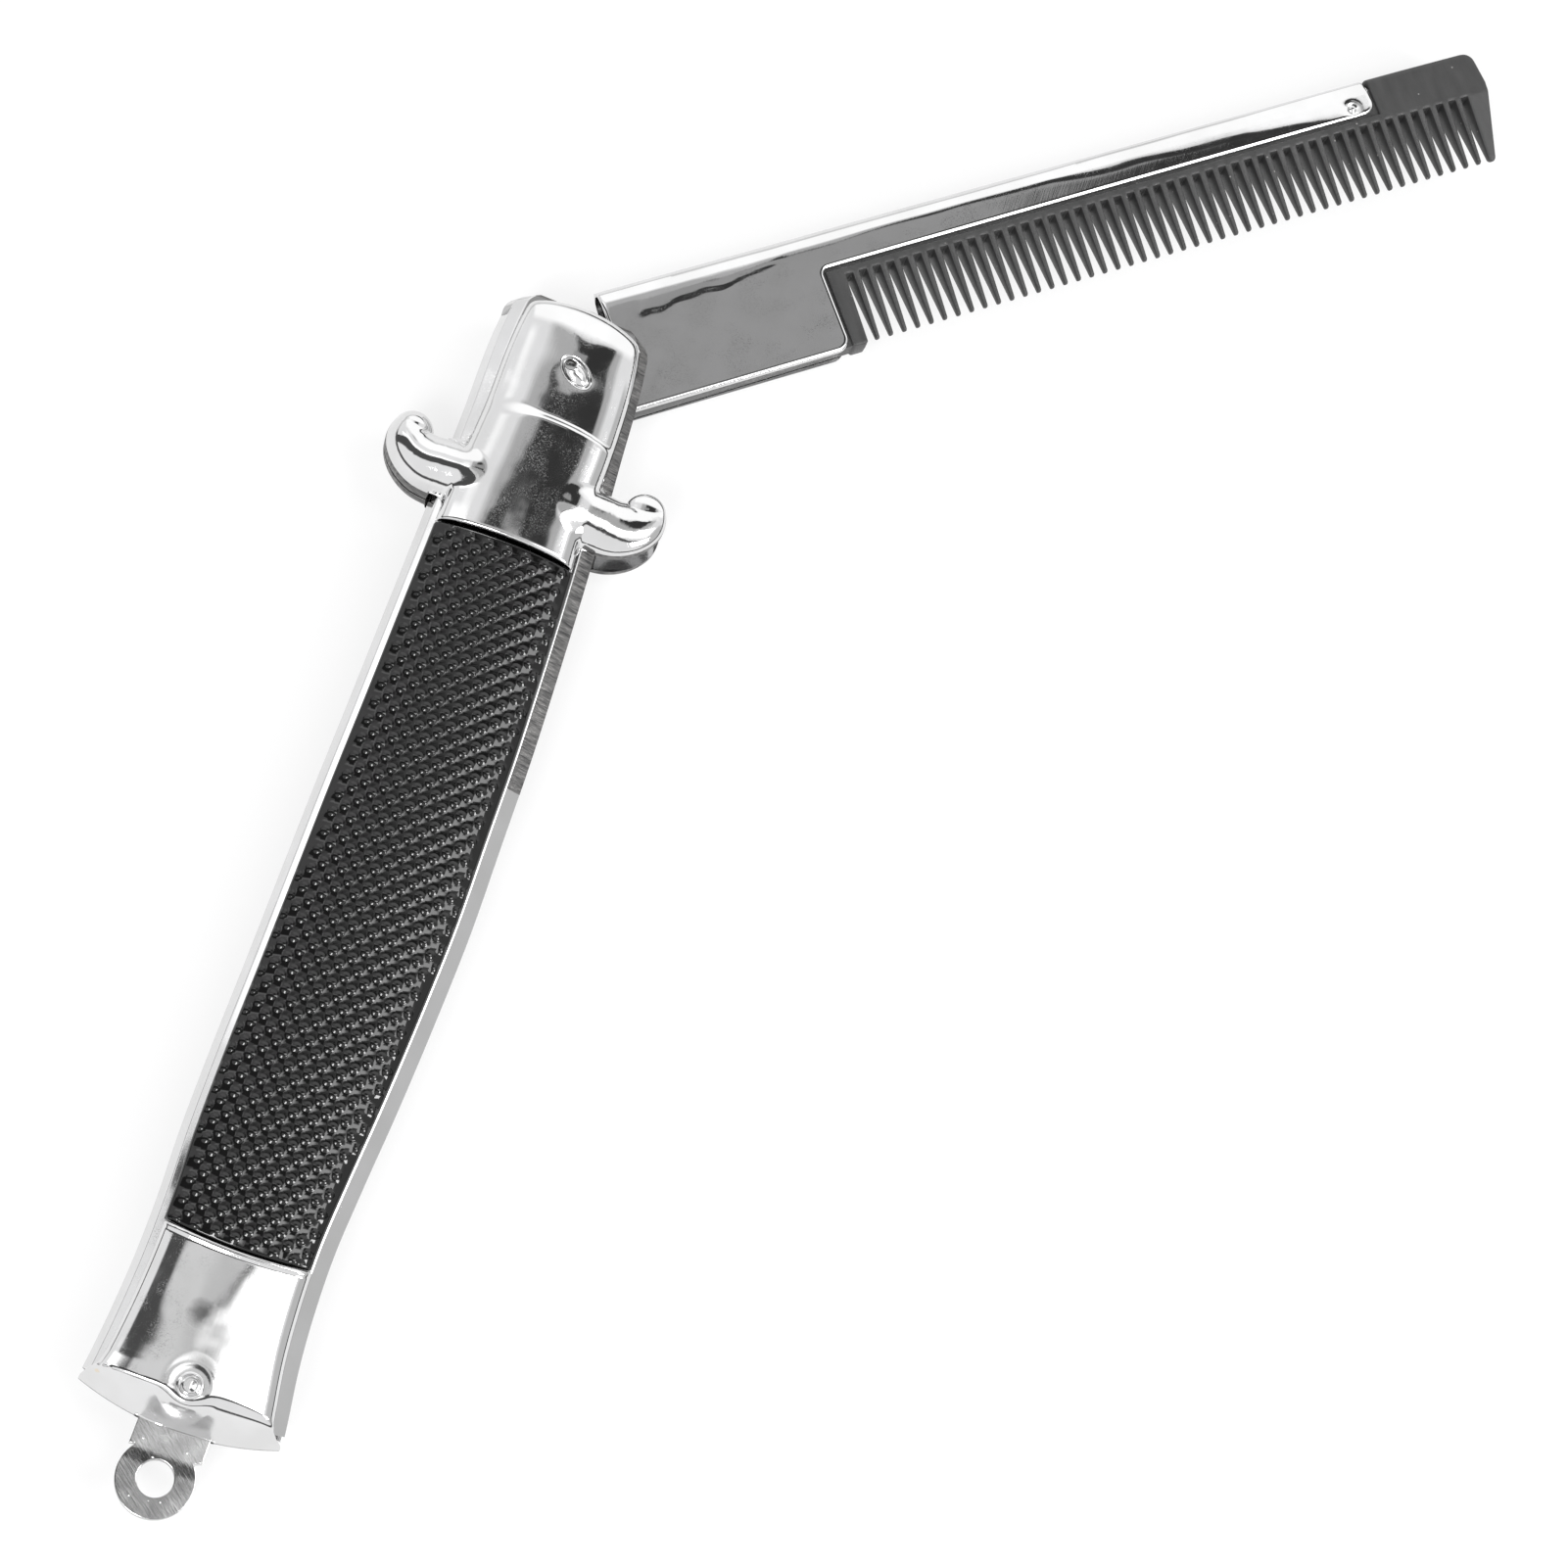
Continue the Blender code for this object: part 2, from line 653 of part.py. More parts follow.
def plate_from_cells(cells, span):
    """A solid over plan cells that share edges; span gives a cell's bottom and top at height y."""
    index, points = {}, []

    def corner(x, y, z, side):
        key = (round(x, 5), round(y, 5), side)
        if key not in index:
            index[key] = len(points)
            points.append((x, y, z))
        return index[key]

    faces, walls = [], {}
    for number, cell in enumerate(cells):
        low = [corner(x, y, span(number, y)[0], "low") for x, y in cell]
        top = [corner(x, y, span(number, y)[1], "top") for x, y in cell]
        faces += [tuple(top), tuple(reversed(low))]
        for k in range(len(cell)):
            after = (k + 1) % len(cell)
            twin = (top[after], top[k])
            if twin in walls:
                del walls[twin]
            else:
                walls[(top[k], top[after])] = (top[k], low[k], low[after], top[after])
    return points, faces + list(walls.values())


def empty(name, location, turn, parent=None):
    thing = bpy.data.objects.new(name, None)
    bpy.context.collection.objects.link(thing)
    thing.location = location
    thing.rotation_euler = (0.0, 0.0, math.radians(turn))
    thing.parent = parent
    return thing


def build_handle(chrome, steel, black, handle):
    pivot_hole = hole_cut(PIVOT_RADIUS + RUNNING_GAP, PIVOT_Y)
    tail_hole = hole_cut(TAIL_PIN_RADIUS + RUNNING_GAP, TAIL_RIVET_Y)
    pivot_seat = seat_cut(PIVOT_Y, PIVOT_SEAT_RADIUS, PIVOT_SEAT_Z)
    tail_seat = seat_cut(TAIL_RIVET_Y, TAIL_SEAT_RADIUS, TAIL_SEAT_Z)
    reach, depth = CAP_NOTCH_HALF_WIDTH, CAP_NOTCH_DEPTH
    notch_outline = [(-reach, -reach), (reach, -reach), (reach, TAIL_RIVET_Y), (-reach, TAIL_RIVET_Y)]
    tab_notch = slab(notch_outline, -depth, depth)
    for side_name, mirrored in (("front", False), ("back", True)):
        piece(f"{side_name}_frame", frame_solid(), chrome, handle, cuts=[pivot_hole, tail_hole],
              mirrored=mirrored)
        piece(f"{side_name}_bolster", bolster_solid(), chrome, handle,
              joins=[quillon_solid(-1), quillon_solid(1)], cuts=[pivot_seat, pivot_hole],
              mirrored=mirrored)
        piece(f"{side_name}_grip", grip_solid(), black, handle, mirrored=mirrored)
        piece(f"{side_name}_cap", cap_solid(), chrome, handle, cuts=[tail_seat, tail_hole, tab_notch],
              mirrored=mirrored)
    piece("pivot_rivet", rivet_solid(PIVOT_Y, PIVOT_RADIUS, PIVOT_HEAD_RADIUS, PIVOT_SEAT_Z),
          steel, handle)
    piece("tail_rivet", rivet_solid(TAIL_RIVET_Y, TAIL_PIN_RADIUS, TAIL_HEAD_RADIUS, TAIL_SEAT_Z),
          steel, handle)
    ring_hole = hole_cut(TAB_HOLE_RADIUS, TAB_RING_Y)
    piece("hang_tab", tab_solid(), steel, handle, cuts=[tail_hole, ring_hole])


def build_comb(chrome, steel, plastic, pivot):
    pivot_hole = hole_cut(PIVOT_RADIUS + RUNNING_GAP, 0.0)
    rivet_hole = hole_cut(SLEEVE_RIVET_RADIUS + RUNNING_GAP, SLEEVE_RIVET_Y, SLEEVE_RIVET_X)
    showing = plate_from_cells(comb_cells(), comb_span)
    core = slab(core_outline(), -CORE_HALF_THICK, CORE_HALF_THICK)
    piece("comb", showing, plastic, pivot, joins=[core], cuts=[pivot_hole, rivet_hole])
    sleeve = mesh_object("comb_sleeve", sleeve_sheet(), False, pivot)
    sheet = sleeve.modifiers.new("sheet", "SOLIDIFY")
    sheet.thickness = SLEEVE_SHEET * MM
    sheet.offset = -1.0
    sheet.use_even_offset = True
    for label, cutter in (("cut_0", pivot_hole), ("cut_1", rivet_hole)):
        combine(sleeve, cutter, "DIFFERENCE", False, pivot, label)
    sleeve.data.materials.append(chrome)
    sleeve.data.shade_smooth()
    sleeve.data.set_sharp_from_angle(angle=math.radians(35))
    reach = SLEEVE_HALF_THICK + 0.15
    pin = [
        (SLEEVE_RIVET_RADIUS * 0.6, -reach),
        (SLEEVE_RIVET_RADIUS, -SLEEVE_HALF_THICK + 0.15),
        (SLEEVE_RIVET_RADIUS, SLEEVE_HALF_THICK - 0.15),
        (SLEEVE_RIVET_RADIUS * 0.6, reach),
    ]
    piece("sleeve_rivet", turned(pin, (SLEEVE_RIVET_X, SLEEVE_RIVET_Y)), steel, pivot)


def rest_on_origin(root):
    """Move the whole so that the bottom centre of its box is at the world's origin."""
    bpy.context.view_layer.update()
    depsgraph = bpy.context.evaluated_depsgraph_get()
    points = []
    for thing in bpy.data.objects:
        if thing.type == "MESH" and not thing.hide_render:
            shaped = thing.evaluated_get(depsgraph)
            points += [shaped.matrix_world @ vertex.co for vertex in shaped.to_mesh().vertices]
            shaped.to_mesh_clear()
    low = [min(point[axis] for point in points) for axis in range(3)]
    high = [max(point[axis] for point in points) for axis in range(3)]
    root.location = (-(low[0] + high[0]) / 2, -(low[1] + high[1]) / 2, -low[2])


def main():
    clear_scene()
    chrome = material("bright chrome plate", (0.78, 0.78, 0.79), 1.0, 0.12)
    steel = material("worn sheet steel", (0.62, 0.62, 0.62), 1.0, 0.3)
    black = material("gloss black plastic", (0.012, 0.012, 0.013), 0.0, 0.18)
    plastic = material("charcoal comb plastic", (0.06, 0.06, 0.06), 0.0, 0.5)
    root = empty("folding_comb", (0.0, 0.0, 0.0), 0.0)
    handle = empty("handle_axes", (0.0, 0.0, 0.0), 0.0, root)
    pivot = empty("comb_pivot", (0.0, PIVOT_Y * MM, 0.0), OPEN_ANGLE, root)
    build_handle(chrome, steel, black, handle)
    build_comb(chrome, steel, plastic, pivot)
    rest_on_origin(root)


main()
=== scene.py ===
import cmath
import json
import math

import bpy
import numpy as np
from mathutils import Matrix, Vector
from mathutils.geometry import delaunay_2d_cdt
from mathutils.kdtree import KDTree


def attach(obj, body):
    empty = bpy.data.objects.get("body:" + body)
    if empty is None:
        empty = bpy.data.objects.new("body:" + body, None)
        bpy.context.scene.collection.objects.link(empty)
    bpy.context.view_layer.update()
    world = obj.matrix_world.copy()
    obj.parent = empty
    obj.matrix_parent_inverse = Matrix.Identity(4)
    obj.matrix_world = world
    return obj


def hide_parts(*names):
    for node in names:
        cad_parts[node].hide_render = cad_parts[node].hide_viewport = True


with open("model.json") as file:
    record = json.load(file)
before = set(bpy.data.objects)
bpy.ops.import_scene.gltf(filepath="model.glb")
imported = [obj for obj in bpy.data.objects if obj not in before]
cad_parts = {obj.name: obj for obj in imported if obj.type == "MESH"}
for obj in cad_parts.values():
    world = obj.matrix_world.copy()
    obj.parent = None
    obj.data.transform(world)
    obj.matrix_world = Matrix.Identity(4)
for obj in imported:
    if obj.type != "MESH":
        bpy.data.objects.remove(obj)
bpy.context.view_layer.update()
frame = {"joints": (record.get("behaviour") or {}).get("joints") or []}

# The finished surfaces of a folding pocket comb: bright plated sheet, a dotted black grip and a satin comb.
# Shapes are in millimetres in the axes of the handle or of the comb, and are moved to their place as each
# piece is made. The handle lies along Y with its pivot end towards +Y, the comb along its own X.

MM = 0.001

# Camera, set from the photograph: where it stands, what its axis meets and how it is turned about that axis
CAMERA_PLACE = (-0.03315, -0.14353, 0.42401)
CAMERA_AIM = (-0.00036, -0.00817, 0.006)
CAMERA_ROLL = -19.27
CAMERA_LENS = 95.56
SENSOR_WIDTH = 36.0

# Handle axes: y from the tail end along the line through both rivets, z from the middle plane
PIVOT_Y = 117.2
TAIL_RIVET_Y = 2.8
OPEN_ANGLE = 39.1
PIVOT_PLACE = Vector(frame["joints"][0]["pos_m"])
AXES = {
    "handle": Matrix.Translation(PIVOT_PLACE) @ Matrix.Translation((0.0, -PIVOT_Y * MM, 0.0)),
    "swinging_comb": Matrix.Translation(PIVOT_PLACE) @ Matrix.Rotation(math.radians(OPEN_ANGLE), 4, "Z"),
}

FRAME_OUTLINE = (
    # y, left edge, right edge
    (0.0, -10.78, 10.70),
    (3.0, -10.48, 10.30),
    (8.0, -10.08, 9.55),
    (15.0, -9.80, 8.98),
    (20.0, -9.84, 8.87),
    (27.0, -10.14, 9.20),
    (36.0, -10.22, 9.78),
    (46.0, -10.14, 10.22),
    (56.0, -10.10, 10.46),
    (66.0, -10.06, 10.28),
    (76.0, -9.92, 10.08),
    (86.0, -9.82, 9.63),
    (97.0, -9.70, 9.00),
    (110.0, -9.70, 8.04),
    (122.6, -9.58, 6.85),
    (123.7, -9.45, 6.65),
)
HALF_SLOT = 2.1
LEDGE_Z = 3.1
HALF_SEAM = 0.15
HALF_THICK = 6.0
TOP_BOW = 2.2
TOP_BOW_START_Y = 112.0
TOP_BOW_END_Y = 123.7
TAIL_BOW = -2.1
TAIL_BOW_END_Y = 4.0


# Curves through tables

def along(rows, y, column):
    """A table's column at y, along a smooth curve through its rows."""
    table = np.array(rows, float)
    place, value = table[:, 0], table[:, column]
    slope = np.gradient(value, place)
    y = np.clip(y, place[0], place[-1])
    k = np.clip(np.searchsorted(place, y, side="right") - 1, 0, len(place) - 2)
    run = place[k + 1] - place[k]
    t = (y - place[k]) / run
    rise = value[k + 1] - value[k]
    curve = slope[k] * run * t * (1 - t) ** 2 - slope[k + 1] * run * t ** 2 * (1 - t)
    return value[k] + rise * t * t * (3 - 2 * t) + curve


def left_edge(y):
    return along(FRAME_OUTLINE, y, 1)


def right_edge(y):
    return along(FRAME_OUTLINE, y, 2)


def step(value, start, end):
    """0 before start, 1 after end and smooth between them."""
    t = np.clip((value - start) / (end - start), 0.0, 1.0)
    return t * t * (3 - 2 * t)


def soft_max(a, b, width):
    """The larger of two heights, with a fillet where they meet."""
    near = np.maximum(1.0 - np.abs(a - b) / width, 0)
    return np.maximum(a, b) + width / 4 * near ** 2


def soft_min(a, b, width):
    return -soft_max(-a, -b, width)


def bow_share(x, y):
    """1 on the handle's middle line and 0 at its edges."""
    return np.maximum(1.0 - across_share(x, left_edge(y), right_edge(y)) ** 2, 0)


def bend_at(y):
    """How far the bowed ends shift the handle's middle line at a height on the outline."""
    top = TOP_BOW * np.maximum(y - TOP_BOW_START_Y, 0) / (TOP_BOW_END_Y - TOP_BOW_START_Y)
    return top + TAIL_BOW * np.maximum(1 - y / TAIL_BOW_END_Y, 0)


def unbowed(x, y):
    """The height on the outline of a point on the handle, whose two ends are bowed."""
    share = bow_share(x, y)
    lift = TOP_BOW / (TOP_BOW_END_Y - TOP_BOW_START_Y) * share
    top = (y + TOP_BOW_START_Y * lift) / (1.0 + lift)
    drop = TAIL_BOW * share
    tail = (y - drop) / (1.0 - drop / TAIL_BOW_END_Y)
    return np.where(y > TOP_BOW_START_Y, top, np.where(tail < TAIL_BOW_END_Y, tail, y))


def across_share(x, left, right):
    """0 halfway between two edges and 1 at either of them."""
    return np.abs((x - (left + right) / 2) / ((right - left) / 2))


def crown(share, power):
    """A rounded section: 1 where the share is 0, falling to 0 where it is 1."""
    return np.maximum(1 - share ** power, 0) ** (1 / power)


def ripple(x, y, size, seed):
    """A smooth unevenness about 1 high with waves about size long."""
    total = np.zeros_like(x)
    rng = np.random.default_rng(seed)
    for _ in range(7):
        heading, phase = rng.uniform(0, 2 * math.pi, 2)
        length = size * rng.uniform(0.7, 1.6)
        total += np.sin((x * math.cos(heading) + y * math.sin(heading)) * 2 * math.pi / length + phase)
    return total / 3.5


# Plans: closed loops, and triangles over what they enclose

def arc(centre, radius, start, end, steps):
    """Points on an arc, with its angles in degrees."""
    angle = np.radians(np.linspace(start, end, steps + 1))
    return np.column_stack([centre[0] + radius * np.cos(angle), centre[1] + radius * np.sin(angle)])


def filleted(corners, steps):
    """An outline from rows of x, y and corner radius, with each corner rounded."""
    places = [complex(x, y) for x, y, _ in corners]
    outline = []
    for k, here in enumerate(places):
        radius = corners[k][2]
        if radius == 0:
            outline.append(here)
            continue
        back, on = places[k - 1] - here, places[(k + 1) % len(places)] - here
        back /= abs(back)
        half = cmath.phase(on / back) / 2
        centre = here + back * cmath.exp(1j * half) * radius / math.sin(abs(half))
        first = here + back * radius / math.tan(abs(half)) - centre
        sweep = math.copysign(math.pi - 2 * abs(half), -half)
        outline += [centre + first * cmath.exp(1j * sweep * part / steps) for part in range(steps + 1)]
    return np.column_stack([np.real(outline), np.imag(outline)])


def divided(loop, spacing):
    """A closed loop with its long stretches cut into even parts and its corners kept."""
    points = []
    for start, end in zip(loop, np.roll(loop, -1, axis=0)):
        parts = max(1, math.ceil(np.hypot(*(end - start)) / spacing))
        points += [start + (end - start) * part / parts for part in range(parts)]
    return np.array(points)


def evened(loop, spacing):
    """A closed loop's points set evenly along it."""
    closed = np.vstack([loop, loop[:1]])
    run = np.concatenate([[0.0], np.cumsum(np.hypot(*np.diff(closed, axis=0).T))])
    at = np.linspace(0.0, run[-1], max(4, round(run[-1] / spacing)), endpoint=False)
    return np.column_stack([np.interp(at, run, closed[:, k]) for k in (0, 1)])


# For each way that a cell's corners lie inside, the sides that the boundary comes in and goes out by
CELL_LINKS = {
    1: "bl", 2: "rb", 3: "rl", 4: "tr", 5: "bltr", 6: "tb", 7: "tl",
    8: "lt", 9: "bt", 10: "rblt", 11: "rt", 12: "lr", 13: "br", 14: "lb",
}


def traced(inside, low, high, cell):
    """The outermost boundary of the region where inside(x, y) is above 0, anticlockwise."""
    across = np.arange(low[0], high[0] + cell, cell)
    up = np.arange(low[1], high[1] + cell, cell)
    grid_x, grid_y = np.meshgrid(across, up, indexing="ij")
    there = inside(grid_x.ravel(), grid_y.ravel()).reshape(grid_x.shape) > 0
    corners = there[:-1, :-1] + 2 * there[1:, :-1] + 4 * there[1:, 1:] + 8 * there[:-1, 1:]
    follow = {}
    for i, j in zip(*np.nonzero((corners > 0) & (corners < 15))):
        side = {"b": (i, j, 0), "t": (i, j + 1, 0), "l": (i, j, 1), "r": (i + 1, j, 1)}
        links = CELL_LINKS[int(corners[i, j])]
        for k in range(0, len(links), 2):
            follow[side[links[k]]] = side[links[k + 1]]
    keys = list(follow)
    start = np.array([(across[i], up[j]) for i, j, _ in keys])
    end = start + np.array([(0.0, cell) if upright else (cell, 0.0) for _, _, upright in keys])
    start_in = inside(*start.T) > 0
    for _ in range(18):
        middle = (start + end) / 2
        same = ((inside(*middle.T) > 0) == start_in)[:, None]
        start, end = np.where(same, middle, start), np.where(same, end, middle)
    crossing = dict(zip(keys, (start + end) / 2))
    longest = []
    while follow:
        key = next(iter(follow))
        loop = []
        while key in follow:
            loop.append(crossing[key])
            key = follow.pop(key)
        longest = max(longest, loop, key=len)
    return np.array(longest)


def segment_gap(point, start, end):
    along_it = end - start
    share = ((point - start) * along_it).sum(1) / np.maximum((along_it ** 2).sum(1), 1e-12)
    return np.hypot(*(point - start - along_it * np.clip(share, 0, 1)[:, None]).T)


def side_of(start, end, point):
    a, b = end - start, point - start
    return a[:, 0] * b[:, 1] - a[:, 1] * b[:, 0]


def nearest(points, targets):
    """For each point, the number of the nearest target and how far away it is."""
    tree = KDTree(len(targets))
    for k, (x, y) in enumerate(targets):
        tree.insert((x, y, 0.0), k)
    tree.balance()
    found = [tree.find((x, y, 0.0)) for x, y in points]
    return np.array([k for _, k, _ in found]), np.array([gap for _, _, gap in found])


def depth_in(points, loops):
    """How far each point is inside closed loops, less than 0 outside. Holes run clockwise."""
    stack = np.vstack(loops)
    before, after, base = [], [], 0
    for loop in loops:
        order = np.arange(len(loop))
        before.append(base + np.roll(order, 1))
        after.append(base + np.roll(order, -1))
        base += len(loop)
    before, after = np.concatenate(before), np.concatenate(after)
    k, _ = nearest(points, stack)
    here, back, on = stack[k], stack[before[k]], stack[after[k]]
    gap = np.minimum(segment_gap(points, back, here), segment_gap(points, here, on))
    first, second = side_of(back, here, points) > 0, side_of(here, on, points) > 0
    convex = side_of(back, here, on) > 0
    return np.where(np.where(convex, first & second, first | second), gap, -gap)


def staggered(low, high, spacing):
    """A grid of points in staggered rows."""
    rows = np.arange(low[1], high[1], spacing * math.sqrt(0.75))
    points = []
    for k, y in enumerate(rows):
        x = np.arange(low[0] + (k % 2) * spacing / 2, high[0], spacing)
        points.append(np.column_stack([x, np.full_like(x, y)]))
    return np.vstack(points)


def planned(loops, spacing, rims=(), inner=None):
    """Points, triangles and outward edges over a region, with bands of points along its boundary."""
    if inner is None:
        inner = staggered(loops[0].min(axis=0), loops[0].max(axis=0), spacing)
    margin = (rims[-1] if rims else 0.0) + 0.6 * spacing
    points = [*loops, inner[depth_in(inner, loops) > margin]]
    for rim in rims:
        for loop in loops:
            ahead = np.roll(loop, -1, axis=0) - np.roll(loop, 1, axis=0)
            ahead /= np.maximum(np.hypot(*ahead.T), 1e-9)[:, None]
            ring = loop + np.column_stack([-ahead[:, 1], ahead[:, 0]]) * rim
            points.append(ring[depth_in(ring, loops) > 0.85 * rim])
    edges, base = [], 0
    for loop in loops:
        edges += [(base + k, base + (k + 1) % len(loop)) for k in range(len(loop))]
        base += len(loop)
    flat = [Vector(point) for point in np.vstack(points)]
    made = delaunay_2d_cdt(flat, edges, [], 0, 1e-5, False)
    xy, triangles = np.array(made[0]), np.array(made[2])
    triangles = triangles[depth_in(xy[triangles].mean(axis=1), loops) > 0]
    starts, ends = triangles.ravel(), np.roll(triangles, -1, axis=1).ravel()
    single = ~np.isin(starts * len(xy) + ends, ends * len(xy) + starts)
    return xy, triangles, np.column_stack([starts[single], ends[single]])


def outward(plan):
    """For each point on the boundary, the way out of the region."""
    xy, _, rim = plan
    way = np.zeros_like(xy)
    run = xy[rim[:, 1]] - xy[rim[:, 0]]
    run /= np.maximum(np.hypot(*run.T), 1e-9)[:, None]
    for end in (0, 1):
        np.add.at(way, rim[:, end], np.column_stack([run[:, 1], -run[:, 0]]))
    return way / np.maximum(np.hypot(*way.T), 1e-9)[:, None]


def rounding(depth, radius):
    """How far a rounded edge lies below its face, at a depth from the edge."""
    return radius * (1 - np.sqrt(1 - (1 - np.clip(depth / radius, 0, 1)) ** 2))


def relief(plan, top, bottom, bulge=0.0):
    """A closed solid between two heights over a plan, whose walls may bulge halfway up."""
    xy, triangles, rim = plan
    count = len(xy)
    points = [np.column_stack([xy, top]), np.column_stack([xy, np.broadcast_to(bottom, top.shape)])]
    faces = [triangles, triangles[:, ::-1] + count]
    start, end = rim[:, 0], rim[:, 1]
    if bulge:
        edge, where = np.unique(rim, return_inverse=True)
        where = where.reshape(rim.shape) + 2 * count
        middle = (points[0][edge] + points[1][edge]) / 2
        middle[:, :2] += outward(plan)[edge] * bulge
        points.append(middle)
        faces.append(np.column_stack([end, start, where[:, 0], where[:, 1]]))
        faces.append(np.column_stack([where[:, 1], where[:, 0], start + count, end + count]))
    else:
        faces.append(np.column_stack([end, start, start + count, end + count]))
    return np.vstack(points), [tuple(face) for group in faces for face in group.tolist()]


def loft(rings):
    """A closed solid through rings of equal length."""
    count = len(rings[0])
    points = np.vstack(rings)
    faces = []
    for row in range(len(rings) - 1):
        low, high = row * count, (row + 1) * count
        for k in range(count):
            after = (k + 1) % count
            faces.append((low + k, low + after, high + after, high + k))
    faces.append(tuple(reversed(range(count))))
    faces.append(tuple(range(len(points) - count, len(points))))
    return points, faces


def turned(profile, centre, steps=48):
    """A solid of revolution about a vertical line, from rows of radius and height, bottom first."""
    rings = []
    for radius, z in profile:
        ring = arc(centre, radius, 0, 360, steps)[:-1]
        rings.append(np.column_stack([ring, np.full(steps, z)]))
    return loft(rings)


def turned_over(solid):
    """The same solid on the other side of the middle plane."""
    points, faces = solid
    return points * (1, 1, -1), [tuple(reversed(face)) for face in faces]


def joined(*solids):
    points, faces, base = [], [], 0
    for part, sides in solids:
        points.append(part)
        faces += [tuple(base + k for k in side) for side in sides]
        base += len(part)
    return np.vstack(points), faces


def piece(name, solid, body, node, looks, sharp=38.0):
    """Make a shown piece from a solid in its body's axes: it rides on the body and stands for a node."""
    points, faces = solid
    axes = AXES[body]
    turn = np.array(axes.to_3x3())
    mesh = bpy.data.meshes.new(name)
    mesh.from_pydata((points * MM @ turn.T).tolist(), [], faces)
    mesh.validate()
    for look in looks:
        mesh.materials.append(look)
    mesh.shade_smooth()
    mesh.set_sharp_from_angle(angle=math.radians(sharp))
    thing = bpy.data.objects.new(name, mesh)
    bpy.context.scene.collection.objects.link(thing)
    thing.matrix_world = Matrix.Translation(axes.to_translation())
    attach(thing, body)
    if node:
        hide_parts(node)
    return thing


def handle_pair(part, shown, solid, looks, sharp=38.0):
    """A front piece of the handle and its mirror image at the back."""
    return [
        piece(f"{side}_{shown}", made, "handle", f"{side}_{part}", looks, sharp)
        for side, made in (("front", solid), ("back", turned_over(solid)))
    ]


def give_second_look(thing, chosen):
    """Give a piece's second material to the faces whose middle and normal pass a test."""
    for polygon in thing.data.polygons:
        if chosen(*(polygon.center / MM), polygon.normal):
            polygon.material_index = 1


# Node trees

class Value:
    """A node's output, whose sums, products and ramps add further nodes."""

    def __init__(self, socket):
        self.socket = socket

    def node(self, kind, output, settings=None, **inputs):
        return add_node(self.socket.id_data, kind, output, settings, **inputs)

    def maths(self, operation, other):
        return self.node("ShaderNodeMath", 0, {"operation": operation}, i0=self, i1=other)

    def __add__(self, other):
        return self.maths("ADD", other)

    def __sub__(self, other):
        return self.maths("SUBTRACT", other)

    def __mul__(self, other):
        return self.maths("MULTIPLY", other)

    def ramp(self, low, high, start=0.0, end=1.0):
        """Start up to low, end from high, and even between them."""
        spans = {"From_Min": low, "From_Max": high, "To_Min": start, "To_Max": end}
        return self.node("ShaderNodeMapRange", 0, Value=self, **spans)

    def edge(self, at, soft, start=0.0, end=1.0):
        return self.ramp(at - soft / 2, at + soft / 2, start, end)

    def within(self, low, high, soft):
        """1 between two bounds and 0 outside them, with soft ends."""
        return self.edge(low, soft) * self.edge(high, soft, 1.0, 0.0)

    def mix(self, first, second):
        """The colour that is this share of the way from one to another."""
        return self.node("ShaderNodeMix", 2, {"data_type": "RGBA"}, i0=self, i6=first, i7=second)


def put(value, slot):
    """Link a value to an input, or set the input. A colour's input takes a grey too."""
    if isinstance(value, Value):
        slot.id_data.links.new(value.socket, slot)
    elif slot.type == "RGBA":
        slot.default_value = (*np.broadcast_to(value, 3), 1.0)
    else:
        slot.default_value = value


def add_node(tree, kind, output, settings=None, **inputs):
    """Add a node and return its output. Inputs are named with underscores, or with i and a number."""
    made = tree.nodes.new(kind)
    for key, value in (settings or {}).items():
        setattr(made, key, value)
    for key, value in inputs.items():
        numbered = key[0] == "i" and key[1:].isdigit()
        put(value, made.inputs[int(key[1:]) if numbered else key.replace("_", " ")])
    return Value(made.outputs[output])


# Materials

class Look:
    """A new material, and the place that its patterns go by."""

    def __init__(self, name):
        self.material = bpy.data.materials.new(name)
        self.material.use_nodes = True
        self.tree = self.material.node_tree
        self.here = self.place()

    def place(self, stretch=(1.0, 1.0, 1.0), turn=0.0):
        """The piece's own coordinates in millimetres, turned back by an angle and stretched."""
        where = add_node(self.tree, "ShaderNodeTexCoord", "Object")
        if turn:
            back = (0.0, 0.0, -math.radians(turn))
            where = where.node("ShaderNodeMapping", 0, Vector=where, Rotation=back)
        return where.node("ShaderNodeMapping", 0, Vector=where, Scale=tuple(s / MM for s in stretch))

    def up(self):
        """The height along the piece's own y."""
        return self.here.node("ShaderNodeSeparateXYZ", "Y", i0=self.here)

    def noise(self, size, detail=2.0, roughness=0.5, where=None):
        """Noise whose features are about size millimetres."""
        where = where or self.here
        fineness = {"Scale": 1.0 / size, "Detail": detail, "Roughness": roughness}
        return where.node("ShaderNodeTexNoise", "Fac", Vector=where, **fineness)

    def spots(self, scale, low, high):
        """Small round spots, 1 in the middle."""
        gap = self.here.node("ShaderNodeTexVoronoi", "Distance", Vector=self.here, Scale=scale)
        return gap.ramp(low, high, 1.0, 0.0)

    def finished(self, bumps=(), **inputs):
        """Set the shader's inputs, and stack bump layers of height and depth in millimetres."""
        for height, depth in bumps:
            below = {key: inputs[key] for key in inputs if key == "Normal"}
            below["Distance"] = depth * MM
            inputs["Normal"] = height.node("ShaderNodeBump", 0, Height=height, Strength=1.0, **below)
        shader = self.tree.nodes["Principled BSDF"]
        for key, value in inputs.items():
            put(value, shader.inputs[key.replace("_", " ")])
        return self.material


